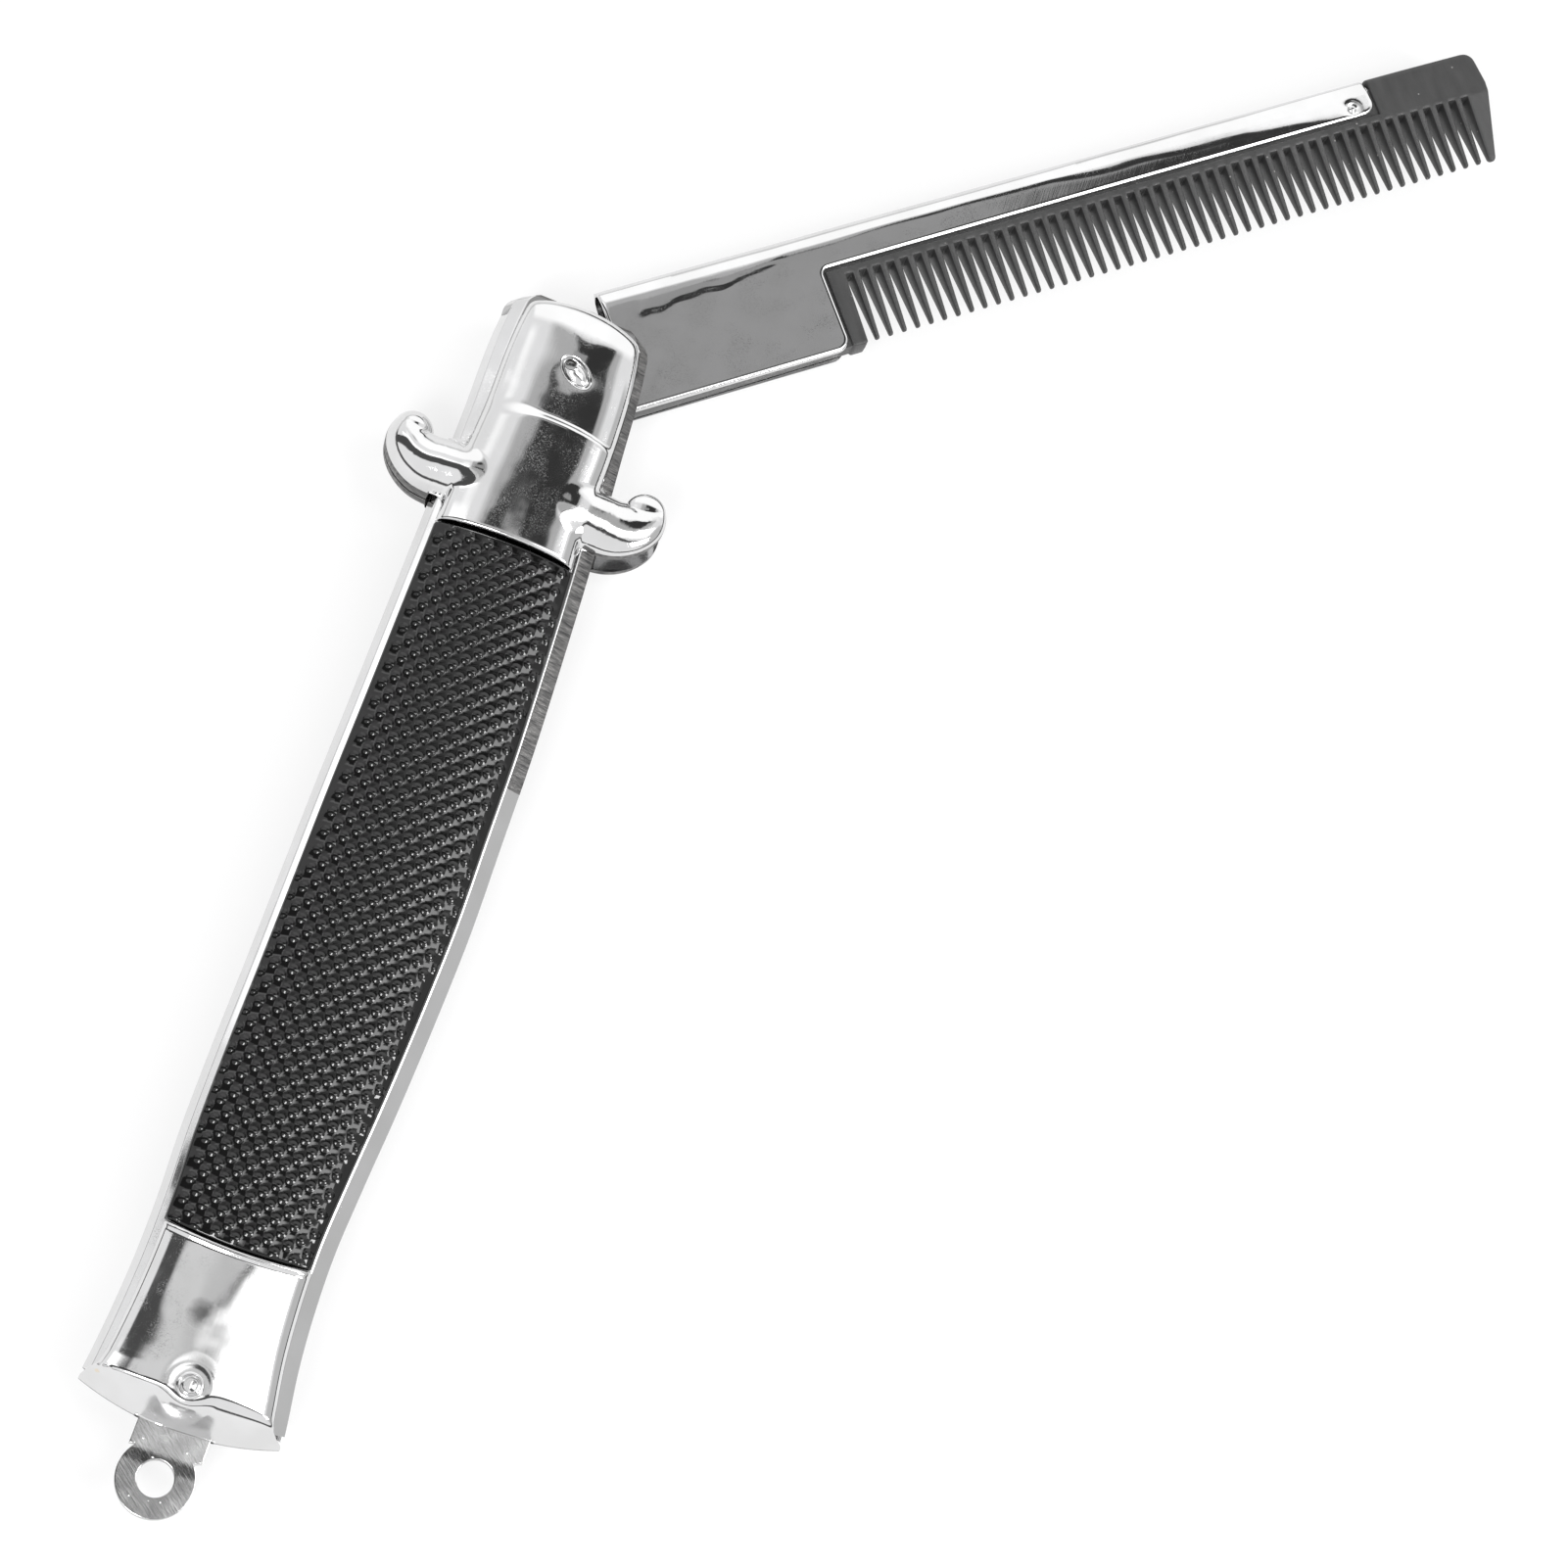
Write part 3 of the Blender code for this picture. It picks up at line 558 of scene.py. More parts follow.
def bright_chrome(name, tone=0.73, dull=0.04, scratch=1.0, stains=(), end_dull=0.0):
    """Bright plate with a slight haze, fine scuffs, a dusting of specks and soft stains at given places."""
    look = Look(name)
    specks = look.noise(0.11, 2.0, 0.6).ramp(0.58, 0.72) * look.noise(2.6, 3.0).ramp(0.38, 0.62)
    tint = look.noise(5.0, 3.0).ramp(0.35, 0.65).mix((tone, tone, tone * 1.005), tone * 0.94)
    for place, radius, colour in stains:
        distance = {"operation": "DISTANCE"}
        gap = look.here.node("ShaderNodeVectorMath", "Value", distance, i0=look.here, i1=place)
        gap = gap + look.noise(0.8).ramp(0.3, 0.7, -0.15, 0.15)
        tint = gap.ramp(radius * 0.3, radius * 1.15, 0.85, 0.0).mix(tint, colour)
    smear = look.noise(1.6, 4.0, 0.6, look.place((1.0, 0.22, 1.0)))
    haze = smear.ramp(0.42, 0.72, dull, dull + 0.035) + look.up().ramp(0.3, 1.3, end_dull, 0.0)
    lines = look.noise(1.0, where=look.place((7.0, 0.35, 1.0)))
    bumps = [(look.noise(3.4, 1.0), 0.008), (lines, 0.0010 * scratch), (specks, 0.0012)]
    return look.finished(bumps, Base_Color=tint, Metallic=1.0, Roughness=haze + specks * 0.05)


def raw_edge():
    """The sheared side of the sheet: dark grey with fine bars across it."""
    look = Look("sheared_edge")
    bars = look.noise(1.0, 3.0, 0.65, look.place((0.25, 3.4, 1.0)))
    wide = look.noise(1.9, where=look.place((0.4, 1.0, 1.0)))
    tone = bars.ramp(0.32, 0.68) * wide.ramp(0.3, 0.7, 0.55, 1.0)
    colour = tone.mix((0.035, 0.035, 0.036), (0.23, 0.225, 0.22))
    rough = bars.ramp(0.3, 0.7, 0.5, 0.32)
    return look.finished([(bars, 0.10), (wide, 0.06)], Base_Color=colour, Metallic=0.55, Roughness=rough)


def painted_shade_bore():
    """The inside of the pivot's hole, painted dark as the shade inside the hole: dull and uneven."""
    look = Look("painted_shade_bore")
    # The painted shade varies a little in darkness and dullness.
    shade_variation = look.noise(0.3, 3.0)
    colour = shade_variation.mix(0.012, (0.045, 0.043, 0.040))
    return look.finished([(shade_variation, 0.02)], Base_Color=colour, Roughness=shade_variation.ramp(0.3, 0.7, 0.5, 0.8))


def worn_steel():
    """Bare sheet with brushed lines across it and small bright chips, lighter above the tab's ring."""
    look = Look("worn_sheet_steel")
    tone = 0.5
    lines = look.noise(1.0, 3.0, 0.6, look.place((0.5, 9.0, 1.0), -38.0))
    cloud = look.noise(2.4)
    chips = look.spots(0.8, 0.05, 0.09)
    base = lines.ramp(0.3, 0.7).mix(tone * 0.72, tone * 1.12)
    base = cloud.ramp(0.4, 0.65, 0.0, 0.35).mix(base, tone * 0.6)
    base = look.up().ramp(-4.4, -3.4, 0.0, 0.7).mix(base, tone * 1.45)
    base = chips.mix(base, 0.95)
    rough = cloud.ramp(0.3, 0.7, 0.10, 0.18)
    return look.finished([(lines, 0.010), (chips, 0.03)], Base_Color=base, Metallic=1.0, Roughness=rough)


def gloss_black():
    """Moulded black plastic with a slightly uneven gloss."""
    look = Look("gloss_black_plastic")
    fine = look.noise(0.35)
    base = look.noise(4.0, 3.0).mix(0.003, 0.006)
    bumps = [(look.noise(1.1, 1.0), 0.004), (fine, 0.0008)]
    return look.finished(bumps, Base_Color=base, Roughness=fine.ramp(0.3, 0.75, 0.05, 0.09), IOR=1.5)


def satin_charcoal():
    """The comb's moulded plastic: dark grey, with a fine mould texture, flow marks and a little dust."""
    look = Look("satin_charcoal_plastic")
    flow = look.noise(1.6, 3.0, where=look.place((1.0, 0.3, 1.0), OPEN_ANGLE))
    fine = look.noise(0.16)
    base = flow.ramp(0.3, 0.7).mix(0.026, 0.042)
    base = (look.spots(0.62, 0.035, 0.075) * 0.5).mix(base, (0.42, 0.41, 0.40))
    rough = fine.ramp(0.3, 0.7, 0.34, 0.52)
    return look.finished([(fine, 0.006), (flow, 0.01)], Base_Color=base, Roughness=rough)


# Sheet frame

WALL_PLAN = 0.75
WALL_TOP_Z = 2.55
LEDGE_PLAN = 2.1
WALL_THICK = 0.6
FLANGE_PLAN = 1.6
RIGHT_LIP = 0.2
BEND_RADIUS = 0.55
FRAME_START_Y = 1.6
SIDE_WALL_END_Y = 122.4
LOW_WALL_FOOT = HALF_SLOT - 0.15
CORNER_RADIUS = 0.9
FRAME_STEP = 0.8
SHEARED_START_Y = 72.0
# Right of this x, the frame's bowed end takes the dark sheared look as painted shade.
END_SHADE_FROM_X = -6.8


def frame_profile(left, right, foot):
    """The frame's section as x and z, anticlockwise from the wall's foot: outer side, then inner."""
    corners = [
        (left, foot, 0.0),
        (left + WALL_PLAN, WALL_TOP_Z, BEND_RADIUS),
        (left + LEDGE_PLAN, LEDGE_Z, 0.8),
        (right - FLANGE_PLAN, LEDGE_Z, BEND_RADIUS),
        (right, HALF_SLOT + RIGHT_LIP, 0.1),
        (right, HALF_SLOT, 0.0),
        (left + WALL_PLAN + WALL_THICK, HALF_SLOT, 0.0),
        (left + WALL_THICK, foot, 0.0),
    ]
    return filleted(corners, 5)


def frame_solid():
    """The bent sheet, whose far end is bowed and has rounded corners."""
    stations = list(np.arange(FRAME_START_Y, SIDE_WALL_END_Y - FRAME_STEP, FRAME_STEP))
    stations += [SIDE_WALL_END_Y, SIDE_WALL_END_Y + 0.02]
    stations += list(TOP_BOW_END_Y - CORNER_RADIUS * np.array([0.95, 0.8, 0.6, 0.4, 0.25, 0.12, 0.04, 0.0]))
    rings = []
    for y in stations:
        tuck = rounding(TOP_BOW_END_Y - y, CORNER_RADIUS)
        foot = HALF_SEAM if y <= SIDE_WALL_END_Y else LOW_WALL_FOOT
        x, z = frame_profile(left_edge(y) + tuck, right_edge(y) - tuck, foot).T
        rings.append(np.column_stack([x, y + bend_at(y) * bow_share(x, y), z]))
    return loft([ring[::-1] for ring in rings])


def ledge_height(x, y):
    """The frame's upper face, which slopes down towards both edges."""
    left, right = left_edge(y), right_edge(y)
    low = WALL_TOP_Z + (x - left - WALL_PLAN) * (LEDGE_Z - WALL_TOP_Z) / (LEDGE_PLAN - WALL_PLAN)
    high = LEDGE_Z - (x - right + FLANGE_PLAN) * (LEDGE_Z - HALF_SLOT - RIGHT_LIP) / FLANGE_PLAN
    return np.minimum(np.minimum(low, high), LEDGE_Z)


def is_sheared_or_shaded_frame(x, y, z, _):
    """Whether a place on the frame is on the bare side of its right flange, or on its bowed end, which is
    given the dark sheared look as painted shade of the gap under the bolster's top edge.
    """
    on_flange = x > right_edge(y) - FLANGE_PLAN + 0.25 and abs(z) < LEDGE_Z - 0.05
    # The bowed end past the bolster is painted dark, as shade of the gap under the bolster's top edge.
    shaded_end = abs(z) > HALF_SLOT + 0.3 and x > END_SHADE_FROM_X and unbowed(x, y) > BOLSTER_END_Y - 0.3
    return on_flange and y > SHEARED_START_Y or shaded_end


def build_frames(chrome, sheared):
    for thing in handle_pair("frame", "frame_sheet", frame_solid(), [chrome, sheared]):
        give_second_look(thing, is_sheared_or_shaded_frame)


# Bolster with its two hooked guards

BOLSTER_SECTIONS = (
    # y, inset from left edge, inset from right edge
    (96.5, 1.50, 1.90),
    (99.0, 1.50, 1.90),
    (104.0, 1.70, 1.60),
    (110.3, 2.00, 1.10),
    (117.0, 2.10, 0.95),
    (123.0, 2.30, 1.10),
)
BOLSTER_START_Y = 96.5
BOLSTER_END_Y = 123.0
BOLSTER_EDGE_BOW = 0.45
BOLSTER_CREST = 6.0
STEP_Y = 109.7
STEP_RUN = 0.8
STEP_FADE = 2.2
STEP_BOW = 1.1
STEP_DROP = 0.36
END_ROLL_Y = 116.5
BOLSTER_SQUARENESS = 2.5
END_ROLL_POWER = 3.0
CORNER_TRIM = 0.02
DOME_EDGE_Z = 3.5
COVER_WAVE = 0.016
COVER_WAVE_SIZE = 8.0
LIP_RADIUS = 0.28

GUARD_PATH = (
    # run, x from the guard's middle, y, half width, crest height
    (0.0, 6.0, 103.0, 3.50, 5.6),
    (2.6, 8.6, 103.0, 3.35, 5.1),
    (4.6, 10.6, 103.1, 3.15, 4.7),
    (6.2, 12.05, 103.7, 2.85, 4.4),
    (7.7, 12.95, 104.6, 2.60, 4.2),
    (8.9, 13.15, 105.4, 2.38, 4.0),
    (9.7, 13.10, 105.9, 2.25, 3.85),
)
GUARD_MIDDLE_X = -0.8
GUARD_SHEARED_FROM = 8.3
GUARD_EDGE = 0.8
GUARD_FALL = 3.0
GUARD_FILLET = 1.3
COVER_GAP = 0.3
COVER_CLEARANCE = 0.1
PIVOT_MOUND = (0.1, 118.3, 2.6, 0.17)  # x, y, radius, height
PIVOT_RECESS = 0.42


def guard_fields(x, y, side):
    """The signed depth inside a guard's plan and its height, for one side of the handle."""
    run = np.linspace(0.0, GUARD_PATH[-1][0], 140)
    path = np.column_stack([along(GUARD_PATH, run, k) for k in (1, 2, 3, 4)])
    best_ratio = np.full(x.shape, np.inf)
    depth = np.full(x.shape, -np.inf)
    height = np.full(x.shape, -np.inf)
    out = side * (x - GUARD_MIDDLE_X)
    shoulder = (HALF_SLOT if side > 0 else HALF_SEAM) + GUARD_EDGE
    for first, second in zip(path, path[1:]):
        ahead = second[:2] - first[:2]
        share = ((out - first[0]) * ahead[0] + (y - first[1]) * ahead[1]) / (ahead @ ahead)
        share = np.clip(share, 0.0, 1.0)
        gap = np.hypot(out - first[0] - ahead[0] * share, y - first[1] - ahead[1] * share)
        width = first[2] + (second[2] - first[2]) * share
        crest = first[3] + (second[3] - first[3]) * share
        ratio = gap / width
        nearer = ratio < best_ratio
        best_ratio = np.where(nearer, ratio, best_ratio)
        depth = np.where(nearer, width - gap, depth)
        dome = shoulder + (crest - shoulder) * np.sqrt(np.maximum(1 - ratio ** 2, 0))
        height = np.where(nearer, dome - GUARD_FALL * np.maximum(gap - width, 0), height)
    return depth, height


def head_radius(x, y):
    """The distance from the middle of the pivot's peened head, which is 1 at its edge."""
    place = (x + 1j * y - PIVOT_HEAD_MIDDLE) / cmath.exp(1j * math.radians(PIVOT_HEAD_TURN))
    return np.hypot(place.real / PIVOT_HEAD[0], place.imag / PIVOT_HEAD[1])


def on_head(points):
    """Points along and across the peened head, taken to the handle's axes."""
    place = points @ (1, 1j) * cmath.exp(1j * math.radians(PIVOT_HEAD_TURN)) + PIVOT_HEAD_MIDDLE
    return np.column_stack([place.real, place.imag])


def bolster_edges(y):
    left = left_edge(y) + along(BOLSTER_SECTIONS, y, 1)
    right = right_edge(y) - along(BOLSTER_SECTIONS, y, 2)
    return left, right


def past_bolster_start(x, y):
    return y - BOLSTER_START_Y - BOLSTER_EDGE_BOW * bow_share(x, y)


def bolster_depth(x, y):
    """How far inside the bolster's plan a point is, about."""
    s = unbowed(x, y)
    left, right = bolster_edges(s)
    beside, below = np.minimum(x - left, right - x), BOLSTER_END_Y - s
    dome = np.minimum(beside, below)
    corner = np.hypot(np.maximum(1 - beside, 0), np.maximum(1 - below, 0))
    dome = np.where(dome < 1, np.minimum(dome, 1 - corner), dome)
    both = soft_max(guard_fields(x, y, -1)[0], guard_fields(x, y, 1)[0], 0.1)
    return np.minimum(soft_max(dome, both, GUARD_FILLET), past_bolster_start(x, y))


def bolster_height(x, y):
    s = unbowed(x, y)
    left, right = bolster_edges(s)
    across = across_share(x, left, right)
    end = np.maximum((s - END_ROLL_Y) / (BOLSTER_END_Y + 0.05 - END_ROLL_Y), 0)
    cover = np.maximum(1 - across ** BOLSTER_SQUARENESS, 0) * np.maximum(1 - end ** END_ROLL_POWER, 0)
    cover = np.maximum((cover - CORNER_TRIM) / (1 - CORNER_TRIM), 0) ** (1 / BOLSTER_SQUARENESS)
    fade = STEP_FADE * step(-x, 1.0, 6.0)
    past_step = s - STEP_Y - STEP_BOW * bow_share(x, s)
    crest = BOLSTER_CREST - STEP_DROP * step(past_step, -fade / 2, STEP_RUN + fade / 2)
    outside = np.maximum(across - 1, 0) * (right - left) / 2 + np.maximum(end - 1, 0) * 6
    z = DOME_EDGE_Z + (crest - DOME_EDGE_Z) * cover - GUARD_FALL * outside
    for side in (-1, 1):
        z = soft_max(z, guard_fields(x, y, side)[1], GUARD_FILLET * 0.7)
    middle_x, middle_y, radius, rise = PIVOT_MOUND
    z = z + rise * np.exp(-((x - middle_x) ** 2 + (y - middle_y) ** 2) / radius ** 2)
    z = z - PIVOT_RECESS * (1 - step(head_radius(x, y), 0.90, 1.18))
    z = np.minimum(z, HALF_THICK) - rounding(past_bolster_start(x, y), LIP_RADIUS)
    return z + COVER_WAVE * ripple(x, y, COVER_WAVE_SIZE, 3) * step(HALF_THICK - z, 0.0, 0.3)


def bolster_foot(x, y):
    """The underside: over the frame it is raised, and beside the frame it comes down to the seam or slot."""
    left = left_edge(y) - COVER_GAP
    right = right_edge(y) + COVER_GAP
    over_frame = ledge_height(x, y) + COVER_CLEARANCE
    return np.where(x < left, HALF_SEAM, np.where(x > right, HALF_SLOT, over_frame))


def is_guard_wall(x, _y, _z, normal):
    return abs(x - GUARD_MIDDLE_X) > GUARD_SHEARED_FROM and abs(normal.z) < 0.2


def build_bolsters(chrome, sheared):
    loop = evened(traced(bolster_depth, (-18.0, 95.0), (16.5, 127.0), 0.12), 0.16)
    inner = staggered(loop.min(axis=0), loop.max(axis=0), 0.22)
    inner = inner[np.abs(head_radius(*inner.T) - 1.0) > 0.28]
    for share in np.linspace(0.76, 1.24, 9):
        inner = np.vstack([inner, on_head(arc((0.0, 0.0), share, 0, 360, 72)[:-1] * PIVOT_HEAD)])
    run = np.arange(96.0, 112.0, 0.15)
    for edge in (left_edge(run) - COVER_GAP, right_edge(run) + COVER_GAP):
        for side in (-0.02, 0.02):
            inner = np.vstack([inner, np.column_stack([edge + side, run])])
    plan = planned([loop], 0.04, (0.03, 0.08, 0.16, 0.3, 0.5), inner)
    x, y = plan[0].T
    foot = bolster_foot(x, y)
    solid = relief(plan, np.maximum(bolster_height(x, y), foot + 0.1), foot)
    for thing in handle_pair("bolster", "bolster_shell", solid, [chrome, sheared]):
        give_second_look(thing, is_guard_wall)


# Grip with its dots

GRIP_START_Y = 18.0
GRIP_END_Y = 96.2
GRIP_INSET_LEFT = 1.5
GRIP_INSET_RIGHT = 1.72
GRIP_CREST = 5.3
GRIP_EDGE_Z = 3.75
GRIP_SQUARENESS = 2.3
CAP_EDGE_BOW = -0.9
DOT_COLUMN = 1.04
DOT_PITCH = 2.13
DOT_FIRST = (-4.14, 93.56)
DOT_RADIUS = 0.54
DOT_RISE = 0.175
DOT_FILLET = 0.03
DOT_EDGE_MARGIN = 0.3
DOT_RINGS = (
    # share of the radius, points, turn
    (0.28, 7, 0), (0.54, 11, 9), (0.78, 15, 0), (0.96, 16, 6), (1.06, 13, 18),
)


def grip_edges(y):
    return left_edge(y) + GRIP_INSET_LEFT, right_edge(y) - GRIP_INSET_RIGHT


def grip_end_gap(x, y):
    """The way to the nearer end of the grip, which is bowed."""
    bow = bow_share(x, y)
    return np.minimum(y - GRIP_START_Y - CAP_EDGE_BOW * bow, GRIP_END_Y + BOLSTER_EDGE_BOW * bow - y)


def grip_depth(x, y):
    left, right = grip_edges(y)
    return np.minimum(np.minimum(x - left, right - x), grip_end_gap(x, y))


def dot_centres():
    """The dots that fit on the grip, in columns set half a pitch apart."""
    centres = []
    for column in range(-9, 17):
        x = DOT_FIRST[0] + column * DOT_COLUMN
        first_y = DOT_FIRST[1] + (column % 2) * DOT_PITCH / 2
        for row in range(-40, 4):
            centres.append((x, first_y + row * DOT_PITCH))
    centres = np.array(centres)
    return centres[grip_depth(*centres.T) > DOT_EDGE_MARGIN]


def dot_heights(x, y, centres):
    """The rise of the nearest dot: a low lens with a soft foot."""
    _, gap = nearest(np.column_stack([x, y]), centres)
    ball = (DOT_RADIUS ** 2 + DOT_RISE ** 2) / (2 * DOT_RISE)
    rise = np.sqrt(np.maximum(ball ** 2 - gap ** 2, 0)) - ball + DOT_RISE
    return soft_max(rise, np.zeros_like(rise), DOT_FILLET)


def build_grips(black):
    centres = dot_centres()
    rings = [centres]
    for share, count, turn in DOT_RINGS:
        ring = arc((0, 0), DOT_RADIUS * share, turn, turn + 360, count)[:-1]
        rings.append((centres[:, None, :] + ring[None, :, :]).reshape(-1, 2))
    loop = divided(evened(traced(grip_depth, (-10.0, 16.0), (10.0, 98.0), 0.3), 0.3), 0.3)
    plan = planned([loop], 0.1, (0.06, 0.16, 0.3), np.vstack(rings))
    x, y = plan[0].T
    rise = crown(across_share(x, *grip_edges(y)), GRIP_SQUARENESS)
    top = GRIP_EDGE_Z + (GRIP_CREST - GRIP_EDGE_Z) * rise + dot_heights(x, y, centres)
    top = top - rounding(grip_end_gap(x, y), 0.3) * 0.6
    foot = ledge_height(x, y) + COVER_CLEARANCE
    solid = relief(plan, np.maximum(top, foot + 0.05), foot)
    handle_pair("grip", "grip_dotted", solid, [black], 60.0)


# Cap at the tail

CAP_SECTIONS = (
    # y, inset from left edge, inset from right edge
    (0.50, 0.10, 0.10),
    (0.80, 0.12, 0.15),
    (1.25, 0.40, 0.70),
    (1.80, 0.85, 1.15),
    (2.50, 1.25, 1.35),
    (3.60, 1.45, 1.42),
    (5.20, 1.50, 1.45),
    (9.00, 1.55, 1.50),
    (17.7, 1.60, 1.50),
)
CAP_TOP_Z = 5.6
CAP_STAINS = (
    # place, radius, colour: a soft dark spot, and a little bare metal at the corner
    ((-1.5, 9.8, CAP_TOP_Z), 1.45, (0.20, 0.20, 0.20)),
    ((-8.96, 1.64, 3.4), 0.45, (0.75, 0.55, 0.25)),
)
CAP_START_Y = 0.5
CAP_END_Y = 17.7
CAP_CREST = 5.62
CAP_SQUARENESS = 2.7
END_FACE_SLOPE = 2.55
END_FACE_FOOT = 0.45
END_FACE_FILLET = (0.35, 1.8)
CAP_RIM_RISE = 0.16
CAP_RIM_WIDTH = 0.75
CAP_WRAP_Y = 1.58
CAP_LEAN = (0.006, 9.5, 4.0)  # fall to the right for each millimetre, its middle y, its reach
CAP_NOTCH_HALF_WIDTH = 4.2  # where the tab comes out
CAP_NOTCH_Z = 0.66
CAP_WAVE = 0.010
TAIL_SEAT = (1.4, 3.4, 5.57, 0.007)  # flat radius, outer radius, height, rise per millimetre
TAIL_RING = (2.15, 0.25, 0.012)  # a faint ring pressed around the tail rivet: radius, width, height


def cap_edges(s):
    table = np.array(CAP_SECTIONS)
    left = left_edge(s) + np.interp(s, table[:, 0], table[:, 1])
    return left, right_edge(s) - np.interp(s, table[:, 0], table[:, 2])


def before_cap_end(x, y):
    return CAP_END_Y + CAP_EDGE_BOW * bow_share(x, y) - y


def cap_depth(x, y):
    s = unbowed(x, y)
    left, right = cap_edges(s)
    return np.minimum(np.minimum(x - left, right - x), np.minimum(s - CAP_START_Y, before_cap_end(x, y)))


def seated(z, x, y):
    """Flatten the cap around the tail rivet's head, where it leans slightly to one side."""
    flat, outer, level, lean = TAIL_SEAT
    share = 1 - step(np.hypot(x, y - TAIL_RIVET_Y), flat, outer)
    return z + (level + lean * x - z) * share


def cap_height(x, y):
    s = unbowed(x, y)
    rise = crown(across_share(x, *cap_edges(s)), CAP_SQUARENESS)
    lean, lean_y, lean_reach = CAP_LEAN
    dome = DOME_EDGE_Z + (CAP_CREST - DOME_EDGE_Z) * rise
    dome = dome - lean * x * np.exp(-((y - lean_y) / lean_reach) ** 2) * rise
    face = END_FACE_FOOT + (s - CAP_START_Y) * END_FACE_SLOPE
    sharp, soft = END_FACE_FILLET
    z = soft_min(dome, face, sharp + (soft - sharp) * step(x, -4.0, 5.0))
    radius, width, height = TAIL_RING
    ring = height * np.exp(-((np.hypot(x, y - TAIL_RIVET_Y) - radius) / width) ** 2)
    z = seated(z, x, y) + ring
    high = before_cap_end(x, y)
    rim = step(high, CAP_RIM_WIDTH, CAP_RIM_WIDTH * 0.45)
    z = z + CAP_RIM_RISE * rim - rounding(high, 0.2)
    return z + CAP_WAVE * ripple(x, y, COVER_WAVE_SIZE, 5)


def build_caps(chrome):
    loop = evened(traced(cap_depth, (-12.0, -2.5), (12.0, 18.5), 0.1), 0.15)
    inner = staggered((-12.0, CAP_START_Y), (12.0, CAP_END_Y), 0.15)
    inner[:, 1] += bend_at(inner[:, 1]) * bow_share(*inner.T)
    plan = planned([loop], 0.05, (0.03, 0.08, 0.16), inner)
    x, y = plan[0].T
    wraps = unbowed(x, y) < CAP_WRAP_Y
    foot = np.where(wraps, HALF_SEAM, ledge_height(x, np.maximum(y, 1.0)) + COVER_CLEARANCE)
    foot = np.where(wraps & (np.abs(x) < CAP_NOTCH_HALF_WIDTH), CAP_NOTCH_Z, foot)
    solid = relief(plan, np.maximum(cap_height(x, y), foot + 0.04), foot)
    handle_pair("cap", "cap_shell", solid, [chrome])


# Rivets

PIVOT_RADIUS = 1.4
PIVOT_PIN = (PIVOT_RADIUS, 4.6)  # radius, reach to either side
TAIL_PIN = (0.9, 4.2)
PIVOT_HEAD_MIDDLE = complex(0.15, PIVOT_Y - 0.05)
PIVOT_HEAD = (1.85, 1.12)  # half length and half width of the peened head
PIVOT_HEAD_TURN = -34.0
PIVOT_HEAD_Z = 5.08
PIVOT_HEAD_RISE = 0.82
PIVOT_HEAD_LEAN = 0.15
PIVOT_HOLE = (-1.0, 0.55, 0.75)  # place along the head, radius, depth
PIVOT_HOLE_Z = (4.7, 5.8)  # the heights between which the hole's inside is painted dark as shade
PIVOT_LIP = (1.3, 0.16, 0.06)  # the hole's raised lip: share of the hole's radius, width, height
TAIL_HEAD = (
    # radius, height
    (0.95, 3.0), (0.95, 5.23), (1.36, 5.28), (1.44, 5.38), (1.42, 5.55), (1.32, 5.67), (1.20, 5.70),
    (1.10, 5.64), (1.04, 5.55), (0.98, 5.55), (0.88, 5.66), (0.80, 5.69),
)
TAIL_DISC = (0.94, 5.73)  # radius, height
TAIL_SLOT = (0.28, 0.28, 0.3)  # x, half length, depth


def pivot_head():
    """The pin's peened end: an egg-shaped swelling with a small hole near one end."""
    egg = arc((0.0, 0.0), 1.0, 0, 360, 72)[:-1] * PIVOT_HEAD
    hole_x, hole_radius, hole_depth = PIVOT_HOLE
    shares = (0.7, 0.85, 1.0, 1.15, 1.3)
    rings = [arc((hole_x, 0.0), hole_radius * share, 0, 360, 36)[:-1] for share in shares]
    inner = staggered(egg.min(axis=0), egg.max(axis=0), 0.13)
    inner = inner[np.hypot(inner[:, 0] - hole_x, inner[:, 1]) > hole_radius * 1.4]
    xy, triangles, rim = planned([egg], 0.06, (0.03, 0.08), np.vstack([inner, *rings]))
    x, y = xy.T
    radius = np.hypot(x / PIVOT_HEAD[0], y / PIVOT_HEAD[1])
    z = PIVOT_HEAD_Z + PIVOT_HEAD_RISE * np.sqrt(np.maximum(1 - radius ** 2, 0)) - PIVOT_HEAD_LEAN * x
    gap = np.hypot(x - hole_x, y)
    share, width, height = PIVOT_LIP
    z = z + height * np.exp(-((gap - hole_radius * share) / width) ** 2)
    z = z - hole_depth * (1 - step(gap, hole_radius * 0.8, hole_radius * 1.08))
    return relief((on_head(xy), triangles, rim), z, PIVOT_HEAD_Z - 0.5)


def tail_head():
    """The tail rivet: a rolled rim, a groove and a disc with a short slot."""
    radius, height = TAIL_DISC
    xy, triangles, rim = planned([arc((0.0, 0.0), radius, 0, 360, 48)[:-1]], 0.1, (0.04, 0.1))
    x, y = xy.T
    slot_x, slot_half, slot_depth = TAIL_SLOT
    slot = np.hypot(np.maximum(np.abs(y) - slot_half, 0), x - slot_x)
    z = height - rounding(radius - np.hypot(x, y), 0.14) - slot_depth * (1 - step(slot, 0.10, 0.24))
    disc = relief((xy + (0.06, TAIL_RIVET_Y), triangles, rim), z, 5.3)
    return joined(turned(TAIL_HEAD, (0.0, TAIL_RIVET_Y)), disc)


def handle_pin(shown, node, head, radius_and_reach, y, looks):
    """A straight pin through the handle with a head on each side."""
    radius, reach = radius_and_reach
    pin = turned(((radius, -reach), (radius, reach)), (0.0, y))
    solid = joined(pin, head, turned_over(head))
    return piece(shown, solid, "handle", node, looks)


